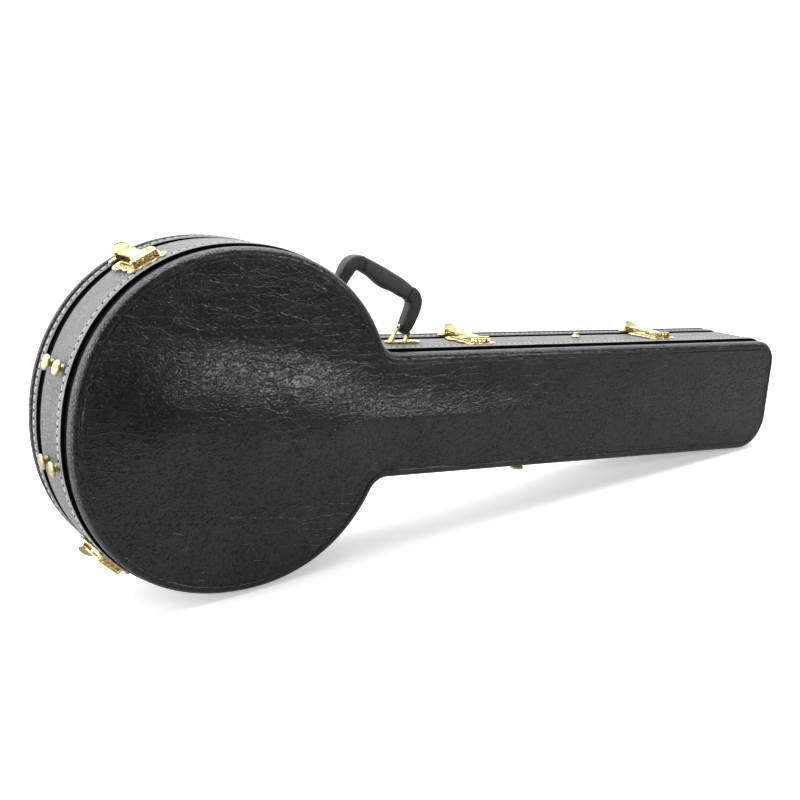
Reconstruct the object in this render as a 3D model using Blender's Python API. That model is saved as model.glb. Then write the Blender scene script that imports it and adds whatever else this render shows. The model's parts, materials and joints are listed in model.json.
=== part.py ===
"""Hard-shell carrying case for a five-string banjo, standing on its hinge edge.

Case frame: X runs along the case from the drum centre towards the neck end, Y runs
through the case from the arched back panel towards the lid, Z runs up the face
towards the handle. Y = 0 is where the back panel meets its trim. The whole case is
then tilted about Y until the drum and the neck end both stand on Z = 0, with the
middle of its bounding box over the origin. Metres and degrees throughout.
"""

import math
from typing import NamedTuple

import bmesh
import bpy
import numpy as np
from mathutils import Matrix, Vector
from mathutils.geometry import delaunay_2d_cdt, tessellate_polygon

# ---------------------------------------------------------------- outline dimensions
DRUM_R = 0.1905          # half of the drum's 381 mm across
DRUM_EXP = 2.12          # the drum is a touch squarer than a circle
NECK_END = 0.878         # drum centre to the end of the neck
NECK_X0 = 0.193          # where NECK_HALF0 is measured
NECK_HALF0 = 0.0761      # half width of the neck at the drum
NECK_HALF1 = 0.0832      # half width of the neck at its end
SHOULDER_R = 0.022       # inside radius where neck meets drum
CORNER_TOP_R = 0.034     # neck end, handle side
CORNER_LOW_R = 0.052     # neck end, hinge side
DRUM_STEPS = 40
SHOULDER_STEPS = 5
CORNER_TOP_STEPS = 5
CORNER_LOW_STEPS = 7
NECK_STEPS = 5           # along each side of the neck
END_STEPS = 3            # across the neck end
SPLIT_X = 0.2            # outline points below this x count as drum, the rest as neck

# ---------------------------------------------------------------- shell dimensions
WALL = 0.0075            # plywood, foam and vinyl side wall
TRIM_Y = (0.0005, 0.0085)
BOX_Y = (0.0090, 0.0805)
SEAM_Y = 0.0825
LID_Y = (0.0845, 0.1010)
LID_TRIM_Y = (0.1015, 0.1055)
PANEL_T = 0.005          # thickness of the vaulted panels
BACK_FACE_Y = -0.0135    # flat outside of the back panel
LID_SEAT_Y = 0.1060      # lid panel where it meets its trim
LID_FACE_Y = 0.1165      # flat outside of the lid panel
PANEL_RIM = 0.0090       # inset of the panel caps from the outline
PAD = 0.008              # plush padding on the walls
FLOOR_PAD = 0.006
WALL_PAD = WALL + PAD    # inset of the padded face
GLUE_WALL = WALL + 0.0005    # inset of anything fixed to the wall's inside
LINING_GAP = 0.0024      # between a panel and the back of its lining
PANEL_GRID = 0.030       # spacing of the points inside a vaulted panel
LINING_GRID = 0.033

# the vault of both panels, highest over the drum and dying out along the neck
ARCH_H = 0.016           # rise over the drum
ARCH_TIP_X = 0.4585      # where the vault ends
ARCH_TIP_Z = 0.0035      # height of its middle line at the tip
ARCH_HALF = 0.112        # half width it tends to away from the tip
ARCH_TAPER = 0.27        # length over which it widens from the tip
ARCH_DIP = 0.016         # how far the middle line dips
ARCH_DIP_X = 0.22        # where it dips most
ARCH_DIP_LENGTH = 0.16   # length scale of the dip
ARCH_FULL_HALF = 0.092   # half width at which the full rise is reached
ARCH_POWER = 1.7         # shape of the cross section
ARCH_FADE = (0.009, 0.070)   # edge distances where it starts and stops fading in

RIM_CORNER_STEPS = 3     # steps round each corner of a rounded rectangle


# ---------------------------------------------------------------- materials
class Finish(NamedTuple):
    colour: tuple
    roughness: float
    metallic: float = 0.0


BLACK = (0.018, 0.018, 0.020)
BRASS = (0.93, 0.74, 0.36)
STEEL = (0.62, 0.60, 0.55)

SIDE_VINYL = Finish((0.035, 0.035, 0.038), roughness=0.42)
PANEL_VINYL = Finish(BLACK, roughness=0.38)
TRIM_VINYL = Finish(BLACK, roughness=0.55)
VALANCE_BLACK = Finish(BLACK, roughness=0.6)
GRIP_BLACK = Finish(BLACK, roughness=0.45)
LEG_BLACK = Finish(BLACK, roughness=0.6)
RIBBON_BLACK = Finish(BLACK, roughness=0.7)
TAB_BLACK = Finish(BLACK, roughness=0.8)
PLUSH = Finish((0.16, 0.012, 0.022), roughness=0.95)
BRIGHT_BRASS = Finish(BRASS, roughness=0.2, metallic=1.0)
PLATE_BRASS = Finish(BRASS, roughness=0.22, metallic=1.0)
HINGE_BRASS = Finish(BRASS, roughness=0.25, metallic=1.0)
PIN_STEEL = Finish(STEEL, roughness=0.3, metallic=1.0)
ROD_STEEL = Finish(STEEL, roughness=0.35, metallic=1.0)


def make_material(name, finish):
    mat = bpy.data.materials.new(name)
    mat.use_nodes = True
    shader = mat.node_tree.nodes["Principled BSDF"]
    shader.inputs["Base Color"].default_value = (*finish.colour, 1.0)
    shader.inputs["Roughness"].default_value = finish.roughness
    shader.inputs["Metallic"].default_value = finish.metallic
    mat.diffuse_color = (*finish.colour, 1.0)
    return mat


# ---------------------------------------------------------------- scene objects
for old in list(bpy.data.objects):
    bpy.data.objects.remove(old, do_unlink=True)


def link_new(name, data):
    obj = bpy.data.objects.new(name, data)
    bpy.context.scene.collection.objects.link(obj)
    return obj


case = link_new("case_frame", None)


def add_axis(name, matrix):
    """An empty in the case frame that moving pieces hang from."""
    axis = link_new(name, None)
    axis.parent = case
    axis.matrix_local = matrix
    return axis


def add_object(name, mesh, finish, parent=case, matrix=Matrix.Identity(4), shade_smooth=False):
    """Link a mesh as an object with a material of its own."""
    obj = link_new(name, mesh)
    own = make_material(name, finish)
    # a mesh that comes out of a boolean may already have a material slot
    if mesh.materials:
        mesh.materials[0] = own
    else:
        mesh.materials.append(own)
    if shade_smooth:
        mesh.polygons.foreach_set("use_smooth", [True] * len(mesh.polygons))
    obj.parent = parent
    obj.matrix_local = matrix
    return obj


def mesh_from(name, verts, faces):
    mesh = bpy.data.meshes.new(name)
    mesh.from_pydata([tuple(v) for v in verts], [], [tuple(f) for f in faces])
    bm = bmesh.new()
    bm.from_mesh(mesh)
    bmesh.ops.remove_doubles(bm, verts=bm.verts, dist=1e-7)
    bmesh.ops.recalc_face_normals(bm, faces=bm.faces)
    bm.to_mesh(mesh)
    bm.free()
    return mesh


def add_piece(name, piece, finish, **placing):
    """Add a (verts, faces) piece as an object."""
    return add_object(name, mesh_from(name, *piece), finish, **placing)


# ---------------------------------------------------------------- outline
def drum_point(deg):
    c, s = math.cos(math.radians(deg)), math.sin(math.radians(deg))
    reach = DRUM_R / (abs(c) ** DRUM_EXP + abs(s) ** DRUM_EXP) ** (1 / DRUM_EXP)
    return Vector((reach * c, reach * s))


def drum_normal(deg):
    p = drum_point(deg)
    power = DRUM_EXP - 1
    gradient = (math.copysign(abs(p.x) ** power, p.x), math.copysign(abs(p.y) ** power, p.y))
    return Vector(gradient).normalized()


SLOPE = (NECK_HALF1 - NECK_HALF0) / (NECK_END - NECK_X0)
NECK_N = Vector((-SLOPE, 1.0)).normalized()      # normal of the neck's handle side
LOW_N = Vector((NECK_N.x, -NECK_N.y))            # normal of its hinge side


def neck_half(x):
    return NECK_HALF0 + SLOPE * (x - NECK_X0)


def nearest_on_drum(point, step_count, steps_per_degree):
    """Distance to the nearest sampled drum point and its angle."""
    angles = (i / steps_per_degree for i in range(step_count))
    return min(((drum_point(deg) - point).length, deg) for deg in angles)


def shoulder():
    """Centre of the upper shoulder fillet and the drum angle where it touches."""
    low, high = DRUM_R * 0.9, DRUM_R + 2 * SHOULDER_R
    for _ in range(24):
        x = (low + high) / 2
        centre = Vector((x, neck_half(x))) + NECK_N * SHOULDER_R
        distance, deg = nearest_on_drum(centre, 1200, 20)
        if distance < SHOULDER_R:
            low = x
        else:
            high = x
    return centre, deg


def arc(centre, radius, start, end, count, inward=False):
    """Points and normals round an arc; inward turns the normals to its centre."""
    out = []
    for i in range(count + 1):
        a = start + (end - start) * i / count
        direction = Vector((math.cos(a), math.sin(a)))
        out.append((centre + direction * radius, -direction if inward else direction))
    return out


def neck_side(start_x, end_x, side):
    """Points between the ends of one side of the neck; side is 1 for the handle side."""
    out = []
    for i in range(1, NECK_STEPS):
        x = start_x + (end_x - start_x) * i / NECK_STEPS
        out.append((Vector((x, side * neck_half(x))), Vector((NECK_N.x, side * NECK_N.y))))
    return out


def corner_centre(radius, side):
    """Centre of the circle that touches one side of the neck and its end."""
    x = NECK_END - radius
    return Vector((x, side * (neck_half(x) - radius / NECK_N.y)))


def outline():
    """Points of the case outline in x and z with their outward normals, anticlockwise."""
    fillet_centre, fillet_deg = shoulder()
    to_drum = drum_point(fillet_deg) - fillet_centre
    neck_angle = math.atan2(-NECK_N.y, -NECK_N.x) % (2 * math.pi)
    drum_angle = math.atan2(to_drum.y, to_drum.x) % (2 * math.pi)
    upper = arc(fillet_centre, SHOULDER_R, neck_angle, drum_angle, SHOULDER_STEPS, inward=True)[:-1]
    points = list(upper)
    for i in range(DRUM_STEPS + 1):
        deg = fillet_deg + (360 - 2 * fillet_deg) * i / DRUM_STEPS
        points.append((drum_point(deg), drum_normal(deg)))
    points += [(Vector((p.x, -p.y)), Vector((n.x, -n.y))) for p, n in reversed(upper)]

    low_centre = corner_centre(CORNER_LOW_R, -1)
    points += neck_side(points[-1][0].x, (low_centre + LOW_N * CORNER_LOW_R).x, -1)
    points += arc(low_centre, CORNER_LOW_R, math.atan2(LOW_N.y, LOW_N.x), 0.0, CORNER_LOW_STEPS)

    top_centre = corner_centre(CORNER_TOP_R, 1)
    for i in range(1, END_STEPS):
        z = low_centre.y + (top_centre.y - low_centre.y) * i / END_STEPS
        points.append((Vector((NECK_END, z)), Vector((1.0, 0.0))))
    points += arc(top_centre, CORNER_TOP_R, 0.0, math.atan2(NECK_N.y, NECK_N.x), CORNER_TOP_STEPS)
    points += neck_side(points[-1][0].x, points[0][0].x, 1)
    return points


OUTLINE = outline()
COUNT = len(OUTLINE)
OUT_P = np.array([tuple(p) for p, _ in OUTLINE])
OUT_N = np.array([tuple(n) for _, n in OUTLINE])
ON_DRUM = OUT_P[:, 0] < SPLIT_X


def drum_wall(deg, y):
    """Point on the drum wall and its outward normal, in the case frame."""
    p, n = drum_point(deg), drum_normal(deg)
    return Vector((p.x, y, p.y)), Vector((n.x, 0, n.y))


def neck_wall(x, y, side=1):
    """Point on the neck wall and its outward normal; side is -1 for the hinge side."""
    return Vector((x, y, side * neck_half(x))), Vector((NECK_N.x, 0, side * NECK_N.y))


# ---------------------------------------------------------------- standing tilt
def standing_outline(tilt):
    """Outline points turned by the tilt: distances along the floor, and heights."""
    s, c = math.sin(tilt), math.cos(tilt)
    return OUT_P[:, 0] * c + OUT_P[:, 1] * s, -OUT_P[:, 0] * s + OUT_P[:, 1] * c


def standing_tilt():
    """Angle at which the drum and the neck end are equally low."""
    low, high = 0.0, 0.4
    for _ in range(50):
        tilt = (low + high) / 2
        height = standing_outline(tilt)[1]
        # a larger tilt lowers the neck end
        if height[~ON_DRUM].min() > height[ON_DRUM].min():
            low = tilt
        else:
            high = tilt
    return tilt


TILT = standing_tilt()
FLAT_X, FLAT_Z = standing_outline(TILT)
STAND = -FLAT_Z[ON_DRUM].min()   # height of the drum centre over the standing line
CASE = Matrix.Translation((0, 0, STAND)) @ Matrix.Rotation(TILT, 4, "Y")
FROM_STANDING = CASE.inverted()


# ---------------------------------------------------------------- lofts and sheets
def ring(offset, y):
    """The outline moved inward by offset, at one y."""
    moved_in = OUT_P - OUT_N * offset
    return np.stack([moved_in[:, 0], np.full(COUNT, y), moved_in[:, 1]], 1)


def edge_distance(x, z):
    """Distance from a point inside the outline to the outline."""
    a = OUT_P
    b = np.roll(OUT_P, -1, 0)
    p = np.array([x, z])
    t = np.clip(((p - a) * (b - a)).sum(1) / ((b - a) ** 2).sum(1), 0, 1)
    return float(np.sqrt((((a + (b - a) * t[:, None]) - p) ** 2).sum(1)).min())


def inside(x, z, polygon):
    a, b = polygon, np.roll(polygon, -1, 0)
    hit = ((a[:, 1] > z) != (b[:, 1] > z)) & (
        x < (b[:, 0] - a[:, 0]) * (z - a[:, 1]) / (b[:, 1] - a[:, 1] + 1e-30) + a[:, 0]
    )
    return bool(hit.sum() % 2)


def smoothstep(start, end, value):
    t = min(max((value - start) / (end - start), 0.0), 1.0)
    return t * t * (3 - 2 * t)


def arch(x, z):
    """Rise of the vault at a point of the panel."""
    run = ARCH_TIP_X - x
    if run <= 0:
        return 0.0
    half = ARCH_HALF * (1 - math.exp(-run / ARCH_TAPER))
    middle = ARCH_TIP_Z - ARCH_DIP * math.exp(-((x - ARCH_DIP_X) / ARCH_DIP_LENGTH) ** 2)
    across = (z - middle) / half
    if abs(across) >= 1:
        return 0.0
    rise = ARCH_H * min(half / ARCH_FULL_HALF, 1.0) * (1 - across * across) ** ARCH_POWER
    return rise * smoothstep(*ARCH_FADE, edge_distance(x, z))


def loft_rings(rings, closed):
    """Join rings of equal length; closed also joins the last to the first."""
    n = len(rings[0])
    faces = []
    for r in range(len(rings) if closed else len(rings) - 1):
        s = (r + 1) % len(rings)
        for i in range(n):
            j = (i + 1) % n
            faces.append((r * n + i, r * n + j, s * n + j, s * n + i))
    return [tuple(v) for v in np.concatenate(rings)], faces


def band(profile):
    """A closed ring that follows the outline; profile is a loop of (offset, y)."""
    return loft_rings([ring(offset, y) for offset, y in profile], True)


def sheet_points(offset, grid):
    """Boundary ring and inner grid points, triangulated.

    Returns 2-D points and faces; the ring comes first.
    """
    edge = OUT_P - OUT_N * offset
    points = [Vector(p) for p in edge]
    row = 0
    x = edge[:, 0].min() + 0.55 * grid
    while x < edge[:, 0].max():
        z = -0.2 + (0.5 * grid if row % 2 else 0.0)
        while z < 0.2:
            if inside(x, z, edge) and edge_distance(x, z) > offset + 0.55 * grid:
                points.append(Vector((x, z)))
            z += grid
        x += grid * 0.87
        row += 1
    result = delaunay_2d_cdt(points, [], [list(range(COUNT))], 1, 1e-7)
    faces, sources = result[2], result[3]
    triangles = [tuple(sources[i][0] for i in face) for face in faces]
    return np.array([tuple(p) for p in points]), triangles


def shell(face_profile, reverse_profile, sign, grid):
    """A vaulted sheet with a rim.

    The profiles are (offset, y) lists joined at their first items. Each ends at the
    edge of a cap that bulges by arch() in the direction of sign along Y.
    """
    profile = face_profile[::-1] + reverse_profile
    verts, faces = loft_rings([ring(offset, y) for offset, y in profile], False)
    last_ring = (len(profile) - 1) * COUNT
    for (offset, y), base in ((face_profile[-1], 0), (reverse_profile[-1], last_ring)):
        points, triangles = sheet_points(offset, grid)
        remap = [base + i for i in range(COUNT)]
        for x, z in points[COUNT:]:
            remap.append(len(verts))
            verts.append((x, y + sign * arch(x, z), z))
        faces += [tuple(remap[i] for i in triangle) for triangle in triangles]
    return verts, faces


# ---------------------------------------------------------------- small solids
# frames that lay a prism's 2-D section in a plane and run it along an axis
YZ_ALONG_X = Matrix(((0, 0, 1, 0), (1, 0, 0, 0), (0, 1, 0, 0), (0, 0, 0, 1)))
ZY_ALONG_X = Matrix(((0, 0, 1, 0), (0, 1, 0, 0), (1, 0, 0, 0), (0, 0, 0, 1)))
XZ_ALONG_Y = Matrix(((1, 0, 0, 0), (0, 0, 1, 0), (0, 1, 0, 0), (0, 0, 0, 1)))
Z_TO_X = Matrix.Rotation(math.pi / 2, 4, "Y")


def prism(outer, depth, frame=Matrix.Identity(4), holes=()):
    """A plate with holes: anticlockwise 2-D loops, run from z = depth[0] to depth[1]."""
    outlines = [outer] + [hole[::-1] for hole in holes]
    loops = [[Vector((x, y, 0)) for x, y in loop] for loop in outlines]
    triangles = tessellate_polygon(loops)
    flat = [v for loop in loops for v in loop]
    n = len(flat)
    verts = [frame @ Vector((v.x, v.y, z)) for z in depth for v in flat]
    faces = [tuple(t) for t in triangles]
    faces += [tuple(i + n for i in reversed(t)) for t in triangles]
    start = 0
    for loop in loops:
        m = len(loop)
        for i in range(m):
            j = (i + 1) % m
            faces.append((start + i, start + j, start + j + n, start + i + n))
        start += m
    return verts, faces


def slab(x0, x1, y0, y1, z0, z1):
    return prism([(x0, y0), (x1, y0), (x1, y1), (x0, y1)], (z0, z1))


def arc_points(radius, degrees):
    return [(radius * math.cos(math.radians(d)), radius * math.sin(math.radians(d)))
            for d in degrees]


def circle(radius, count):
    angles = [2 * math.pi * i / count for i in range(count)]
    return [(radius * math.cos(a), radius * math.sin(a)) for a in angles]


def rounded(width, height, radius, centre_x=0.0):
    """Rounded rectangle."""
    out = []
    for sx, sy, start in ((1, 1, 0), (-1, 1, 90), (-1, -1, 180), (1, -1, 270)):
        for i in range(RIM_CORNER_STEPS + 1):
            a = math.radians(start + 90 * i / RIM_CORNER_STEPS)
            out.append((centre_x + sx * (width / 2 - radius) + radius * math.cos(a),
                        sy * (height / 2 - radius) + radius * math.sin(a)))
    return out


def mirrored(points):
    return [(-x, y) for x, y in reversed(points)]


def cross_pin(radius, count, half):
    """A round pin along X, centred on the origin."""
    return prism(circle(radius, count), (-half, half), Z_TO_X)


def knuckle(x0, x1, radius, bore):
    """A bored barrel along X."""
    return prism(circle(radius, 12), (x0, x1), YZ_ALONG_X, [circle(bore, 8)])


def lathe(profile, count):
    """Solid of revolution about Z; profile is (radius, z) from axis up to axis."""
    verts, faces = [(0, 0, profile[0][1])], []
    inner = profile[1:-1]
    for radius, z in inner:
        verts += [(x, y, z) for x, y in circle(radius, count)]
    verts.append((0, 0, profile[-1][1]))
    for i in range(count):
        j = (i + 1) % count
        faces.append((0, 1 + j, 1 + i))
        for k in range(len(inner) - 1):
            a, b = 1 + k * count, 1 + (k + 1) * count
            faces.append((a + i, a + j, b + j, b + i))
        end = 1 + (len(inner) - 1) * count
        faces.append((end + i, end + j, len(verts) - 1))
    return verts, faces


def rivet(x, y, radius, edge_z, crown_z):
    """A coned rivet head rooted in a plate."""
    root_z = 0.0008
    verts, faces = lathe([(0, root_z), (radius, root_z), (radius, edge_z), (0, crown_z)], 8)
    place = Matrix.Translation((x, y, 0))
    return [place @ Vector(v) for v in verts], faces


def union(name, pieces):
    """One closed mesh out of several overlapping ones."""
    main = link_new(name + "_build", mesh_from(name, *pieces[0]))
    extra = []
    for k, piece in enumerate(pieces[1:]):
        other = link_new(f"{name}_add{k}", mesh_from(f"{name}_add{k}", *piece))
        mod = main.modifiers.new(f"add{k}", "BOOLEAN")
        mod.operation, mod.solver, mod.object = "UNION", "EXACT", other
        extra.append(other)
    bpy.context.view_layer.update()
    graph = bpy.context.evaluated_depsgraph_get()
    mesh = bpy.data.meshes.new_from_object(main.evaluated_get(graph))
    mesh.name = name
    for other in [main] + extra:
        bpy.data.objects.remove(other, do_unlink=True)
    return mesh


def axes(origin, x_dir, z_dir):
    """Frame with its Z along z_dir and its X near x_dir."""
    z = Vector(z_dir).normalized()
    x = (Vector(x_dir) - z * Vector(x_dir).dot(z)).normalized()
    frame = Matrix((x, z.cross(x), z)).transposed().to_4x4()
    frame.translation = Vector(origin)
    return frame


def wall_frame(point, normal):
    """Frame on a wall: X along the wall, Y towards the lid, Z out of the wall."""
    return axes(point, (normal.z, 0, -normal.x), normal)


# ---------------------------------------------------------------- shell: back half
# every profile point is (inset from the outline, y)
def trim_profile(y_range, edge, face, bevel):
    """Trim strip with bevelled edges; edge and face are insets."""
    y0, y1 = y_range
    return [(edge, y0), (face, y0 + bevel), (face, y1 - bevel), (edge, y1), (WALL, y1), (WALL, y0)]


add_piece("box_wall", band([
    (0.0010, BOX_Y[0] + 0.0012), (0.0, BOX_Y[0] + 0.0035),
    (0.0, BOX_Y[1] - 0.0050), (0.0014, BOX_Y[1] - 0.0016),
    (0.0048, BOX_Y[1]), (WALL, BOX_Y[1]), (WALL, BOX_Y[0]), (0.0033, BOX_Y[0]),
]), SIDE_VINYL)

add_piece("back_trim", band(trim_profile(TRIM_Y, edge=0.0024, face=0.0014, bevel=0.0025)),
          TRIM_VINYL)

add_piece("back_panel", shell(
    [(0.0072, 0.0), (0.0022, 0.0), (0.0004, -0.0014), (0.0, -0.0036),
     (0.0, BACK_FACE_Y + 0.0066), (0.0014, BACK_FACE_Y + 0.0030),
     (0.0045, BACK_FACE_Y + 0.0008), (PANEL_RIM, BACK_FACE_Y)],
    [(PANEL_RIM, BACK_FACE_Y + PANEL_T)],
    -1, PANEL_GRID), PANEL_VINYL, shade_smooth=True)

add_piece("box_lining", shell(
    [(WALL_PAD, BOX_Y[1] - 0.0150), (WALL_PAD, 0.0050), (WALL_PAD + 0.0020, -0.0015)],
    [(GLUE_WALL, BOX_Y[1] - 0.0150), (GLUE_WALL, 0.0006), (0.0084, 0.0004),
     (0.0102, BACK_FACE_Y + PANEL_T + LINING_GAP)],
    -1, LINING_GRID), PLUSH)

# strip inside the wall that stands past the seam into the lid
add_piece("box_valance", band([
    (GLUE_WALL, BOX_Y[1] - 0.0130), (GLUE_WALL, SEAM_Y + 0.0060),
    (WALL + 0.0010, SEAM_Y + 0.0080), (WALL + 0.0022, SEAM_Y + 0.0080),
    (WALL + 0.0022, BOX_Y[1] - 0.0130),
]), VALANCE_BLACK)

# ---------------------------------------------------------------- shell: lid half
add_piece("lid_wall", band([
    (0.0014, LID_Y[0] + 0.0016), (0.0, LID_Y[0] + 0.0050),
    (0.0, LID_Y[1] - 0.0030), (0.0010, LID_Y[1] - 0.0008),
    (0.0030, LID_Y[1]), (WALL, LID_Y[1]), (WALL, LID_Y[0]), (0.0048, LID_Y[0]),
]), SIDE_VINYL)

add_piece("lid_trim", band(trim_profile(LID_TRIM_Y, edge=0.0020, face=0.0012, bevel=0.0015)),
          TRIM_VINYL)

add_piece("lid_panel", shell(
    [(0.0072, LID_SEAT_Y), (0.0020, LID_SEAT_Y), (0.0004, LID_SEAT_Y + 0.0010),
     (0.0, LID_SEAT_Y + 0.0028), (0.0, LID_FACE_Y - 0.0055), (0.0014, LID_FACE_Y - 0.0026),
     (0.0045, LID_FACE_Y - 0.0007), (PANEL_RIM, LID_FACE_Y)],
    [(PANEL_RIM, LID_FACE_Y - PANEL_T)],
    1, PANEL_GRID), PANEL_VINYL, shade_smooth=True)

LID_FLOOR_Y = LID_FACE_Y - PANEL_T - FLOOR_PAD   # padded face inside the lid
add_piece("lid_lining", shell(
    [(WALL_PAD, SEAM_Y + 0.0110), (WALL_PAD, LID_SEAT_Y - 0.0020),
     (WALL_PAD + 0.0020, LID_FLOOR_Y)],
    [(GLUE_WALL, SEAM_Y + 0.0110), (GLUE_WALL, LID_SEAT_Y - 0.0006),
     (0.0084, LID_SEAT_Y - 0.0004), (0.0102, LID_FACE_Y - PANEL_T - LINING_GAP)],
    1, LINING_GRID), PLUSH)

# ---------------------------------------------------------------- neck cradles
FLOOR_Y = 0.0010         # clears the padded floor along the neck
CRADLE_GAP = 0.0012      # between a cradle and the wall padding
CRADLE_CHAMFER = 0.004
NOTCH_R = 0.018
NOTCH_STEPS = 5
CRADLE_T = 0.016
ACC_X = (0.3350, 0.4750)     # accessory compartment, between the two cradles


def cradle(name, x0, x1, top, notch_w, notch_y):
    """A padded block across the neck channel with a round-bottomed notch for the neck."""
    half = neck_half(x0) - WALL - PAD - CRADLE_GAP
    notch = notch_w / 2
    r = min(notch, NOTCH_R)
    shoulder_y = top - CRADLE_CHAMFER
    right = [(half, FLOOR_Y), (half, shoulder_y), (half - CRADLE_CHAMFER, top),
             (notch + CRADLE_CHAMFER, top), (notch, shoulder_y)]
    for i in range(NOTCH_STEPS + 1):
        a = math.radians(-90 * i / NOTCH_STEPS)
        right.append((notch - r + r * math.cos(a), notch_y + r + r * math.sin(a)))
    loop = [(-half, FLOOR_Y)] + right + mirrored(right[1:])
    add_piece(name, prism(loop, (x0, x1), ZY_ALONG_X), PLUSH)


cradle("neck_cradle_near", ACC_X[0] - CRADLE_T, ACC_X[0], top=0.060, notch_w=0.062, notch_y=0.038)
cradle("neck_cradle_far", ACC_X[1], ACC_X[1] + CRADLE_T, top=0.060, notch_w=0.056, notch_y=0.040)
cradle("headstock_block", 0.735, 0.765, top=0.040, notch_w=0.080, notch_y=0.022)

# ---------------------------------------------------------------- accessory compartment
# its lid turns on a rod along its hinge-side edge
ACC_HINGE = (0.0300, -0.0555)    # y and z
ACC_LENGTH = ACC_X[1] - ACC_X[0]
ROD_R = 0.0016
ROD_GAP = 0.0004                 # at each end of the rod
ACC_ROLL_R = 0.0038              # outside of the rolled edge round the rod
ACC_BORE_R = 0.0020
ACC_FLAP_W = 0.1140
ACC_END_GAP = 0.0010

add_piece("accessory_rod", prism(circle(ROD_R, 12), (0.0, ACC_LENGTH - 2 * ROD_GAP)), ROD_STEEL,
          matrix=Matrix.Translation((ACC_X[0] + ROD_GAP, *ACC_HINGE)) @ Z_TO_X)

acc_axis = add_axis("accessory_axis", Matrix.Translation((sum(ACC_X) / 2, *ACC_HINGE)))


def accessory_lid():
    """Padded flap with a rolled edge round the rod. Section in y and z, run along x."""
    loop = [(ACC_ROLL_R, 0.0030), (ACC_ROLL_R, ACC_FLAP_W - 0.0015), (0.0030, ACC_FLAP_W),
            (-0.0005, ACC_FLAP_W), (-0.0013, ACC_FLAP_W - 0.0015), (-0.0013, 0.0045)]
    loop += arc_points(ACC_ROLL_R, [110 + 245 * i / 10 for i in range(11)])
    half = ACC_LENGTH / 2 - ACC_END_GAP
    return prism(loop, (-half, half), YZ_ALONG_X, [circle(ACC_BORE_R, 12)])


add_piece("accessory_lid", accessory_lid(), PLUSH, parent=acc_axis)

# flat tab on the flap's free edge, (x, z) about the rod
ACC_TAB = [(-0.009, 0.088), (0.009, 0.088), (0.009, 0.1105),
           (0.0055, 0.1145), (-0.0055, 0.1145), (-0.009, 0.1105)]
ACC_TAB_Y = (0.0042, 0.0054)
add_piece("accessory_tab", prism(ACC_TAB, ACC_TAB_Y, XZ_ALONG_Y), TAB_BLACK, parent=acc_axis)

# ---------------------------------------------------------------- lid pad and stay ribbon
NECK_PAD = rounded(0.060, 0.096, 0.010, centre_x=0.400)
NECK_PAD_Y = (SEAM_Y + 0.0085, LID_FLOOR_Y - 0.0016)
add_piece("lid_neck_pad", prism(NECK_PAD, NECK_PAD_Y, XZ_ALONG_Y), PLUSH)

# Ribbon sewn to both linings just inside the drum's end, folded down in a V when shut.
# It lies in the plane the lid turns in: (y, height over the floor) as the case stands.
RIBBON = [(0.0600, 0.2300), (0.0690, 0.2300), (0.0800, 0.1720), (0.0910, 0.2300),
          (0.1000, 0.2300), (0.0860, 0.1525), (0.0740, 0.1525)]
RIBBON_HALF_T = 0.0005
RIBBON_X = -(DRUM_R - WALL - PAD) + 0.0060
ribbon_frame = FROM_STANDING @ Matrix.Translation((RIBBON_X, 0, STAND - STAND)) @ YZ_ALONG_X
ribbon_frame = (Matrix.Rotation(-TILT, 4, "Y") @ Matrix.Translation((RIBBON_X, 0, -STAND))
                @ YZ_ALONG_X)
add_piece("stay_ribbon", prism(RIBBON, (-RIBBON_HALF_T, RIBBON_HALF_T), ribbon_frame),
          RIBBON_BLACK)

# ---------------------------------------------------------------- latches
# latch frame: X along the wall, Y towards the lid, Z out of the wall, origin on the wall
# at the seam
LATCH_DRUM_DEG = (121.5, 230.0)   # position round the drum
LATCH_NECK_X = (0.340, 0.668)     # position along the neck
PIVOT_Y, PIVOT_Z = -0.0535, 0.0053    # lever pin
LATCH_KNUCKLE_R = 0.0033
LATCH_BORE_R = 0.0015
LATCH_PIN_R = 0.0012
LATCH_PIN_HALF = 0.0158
EAR_X = (0.0112, 0.0152)          # inner and outer faces of the ears
TONGUE_HALF = 0.0095
TONGUE_KNUCKLE_HALF = 0.0106

# right half of the lobed base plate, (x, y) from the far end to the seam end
SHIELD_HALF = [
    (0.0, -0.0665), (0.006, -0.0660), (0.010, -0.0640), (0.013, -0.0652),
    (0.0185, -0.0636), (0.0225, -0.0595), (0.0222, -0.0545), (0.0195, -0.0500),
    (0.0212, -0.0420), (0.0205, -0.0340), (0.0235, -0.0270), (0.0248, -0.0190),
    (0.0225, -0.0125), (0.0175, -0.0090), (0.0110, -0.0080), (0.0050, -0.0062),
]
SHIELD_TIP = (0.0, -0.0058)
BASE_RIVETS = ((0.0170, -0.0590), (-0.0170, -0.0590), (0.0185, -0.0175), (-0.0185, -0.0175))

# side of the lever, (y, z) about its pin: underside, claw, upturned end, top
TONGUE_SIDE = [
    (0.0000, 0.0016), (0.0300, 0.0026), (0.0623, 0.0026), (0.0623, -0.0026),
    (0.0647, -0.0026), (0.0652, 0.0030), (0.0690, 0.0056), (0.0735, 0.0092),
    (0.0728, 0.0106), (0.0676, 0.0074), (0.0625, 0.0046), (0.0300, 0.0044), (0.0000, 0.0033),
]
TONGUE_START_TOP = 0.0018         # y where the lever starts, on top
TONGUE_START_UNDER = 0.0024       # and underneath

STRIKE = [(-0.0130, 0.0058), (0.0130, 0.0058), (0.0155, 0.0100), (0.0130, 0.0150),
          (0.0060, 0.0166), (-0.0060, 0.0166), (-0.0130, 0.0150), (-0.0155, 0.0100)]


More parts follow.
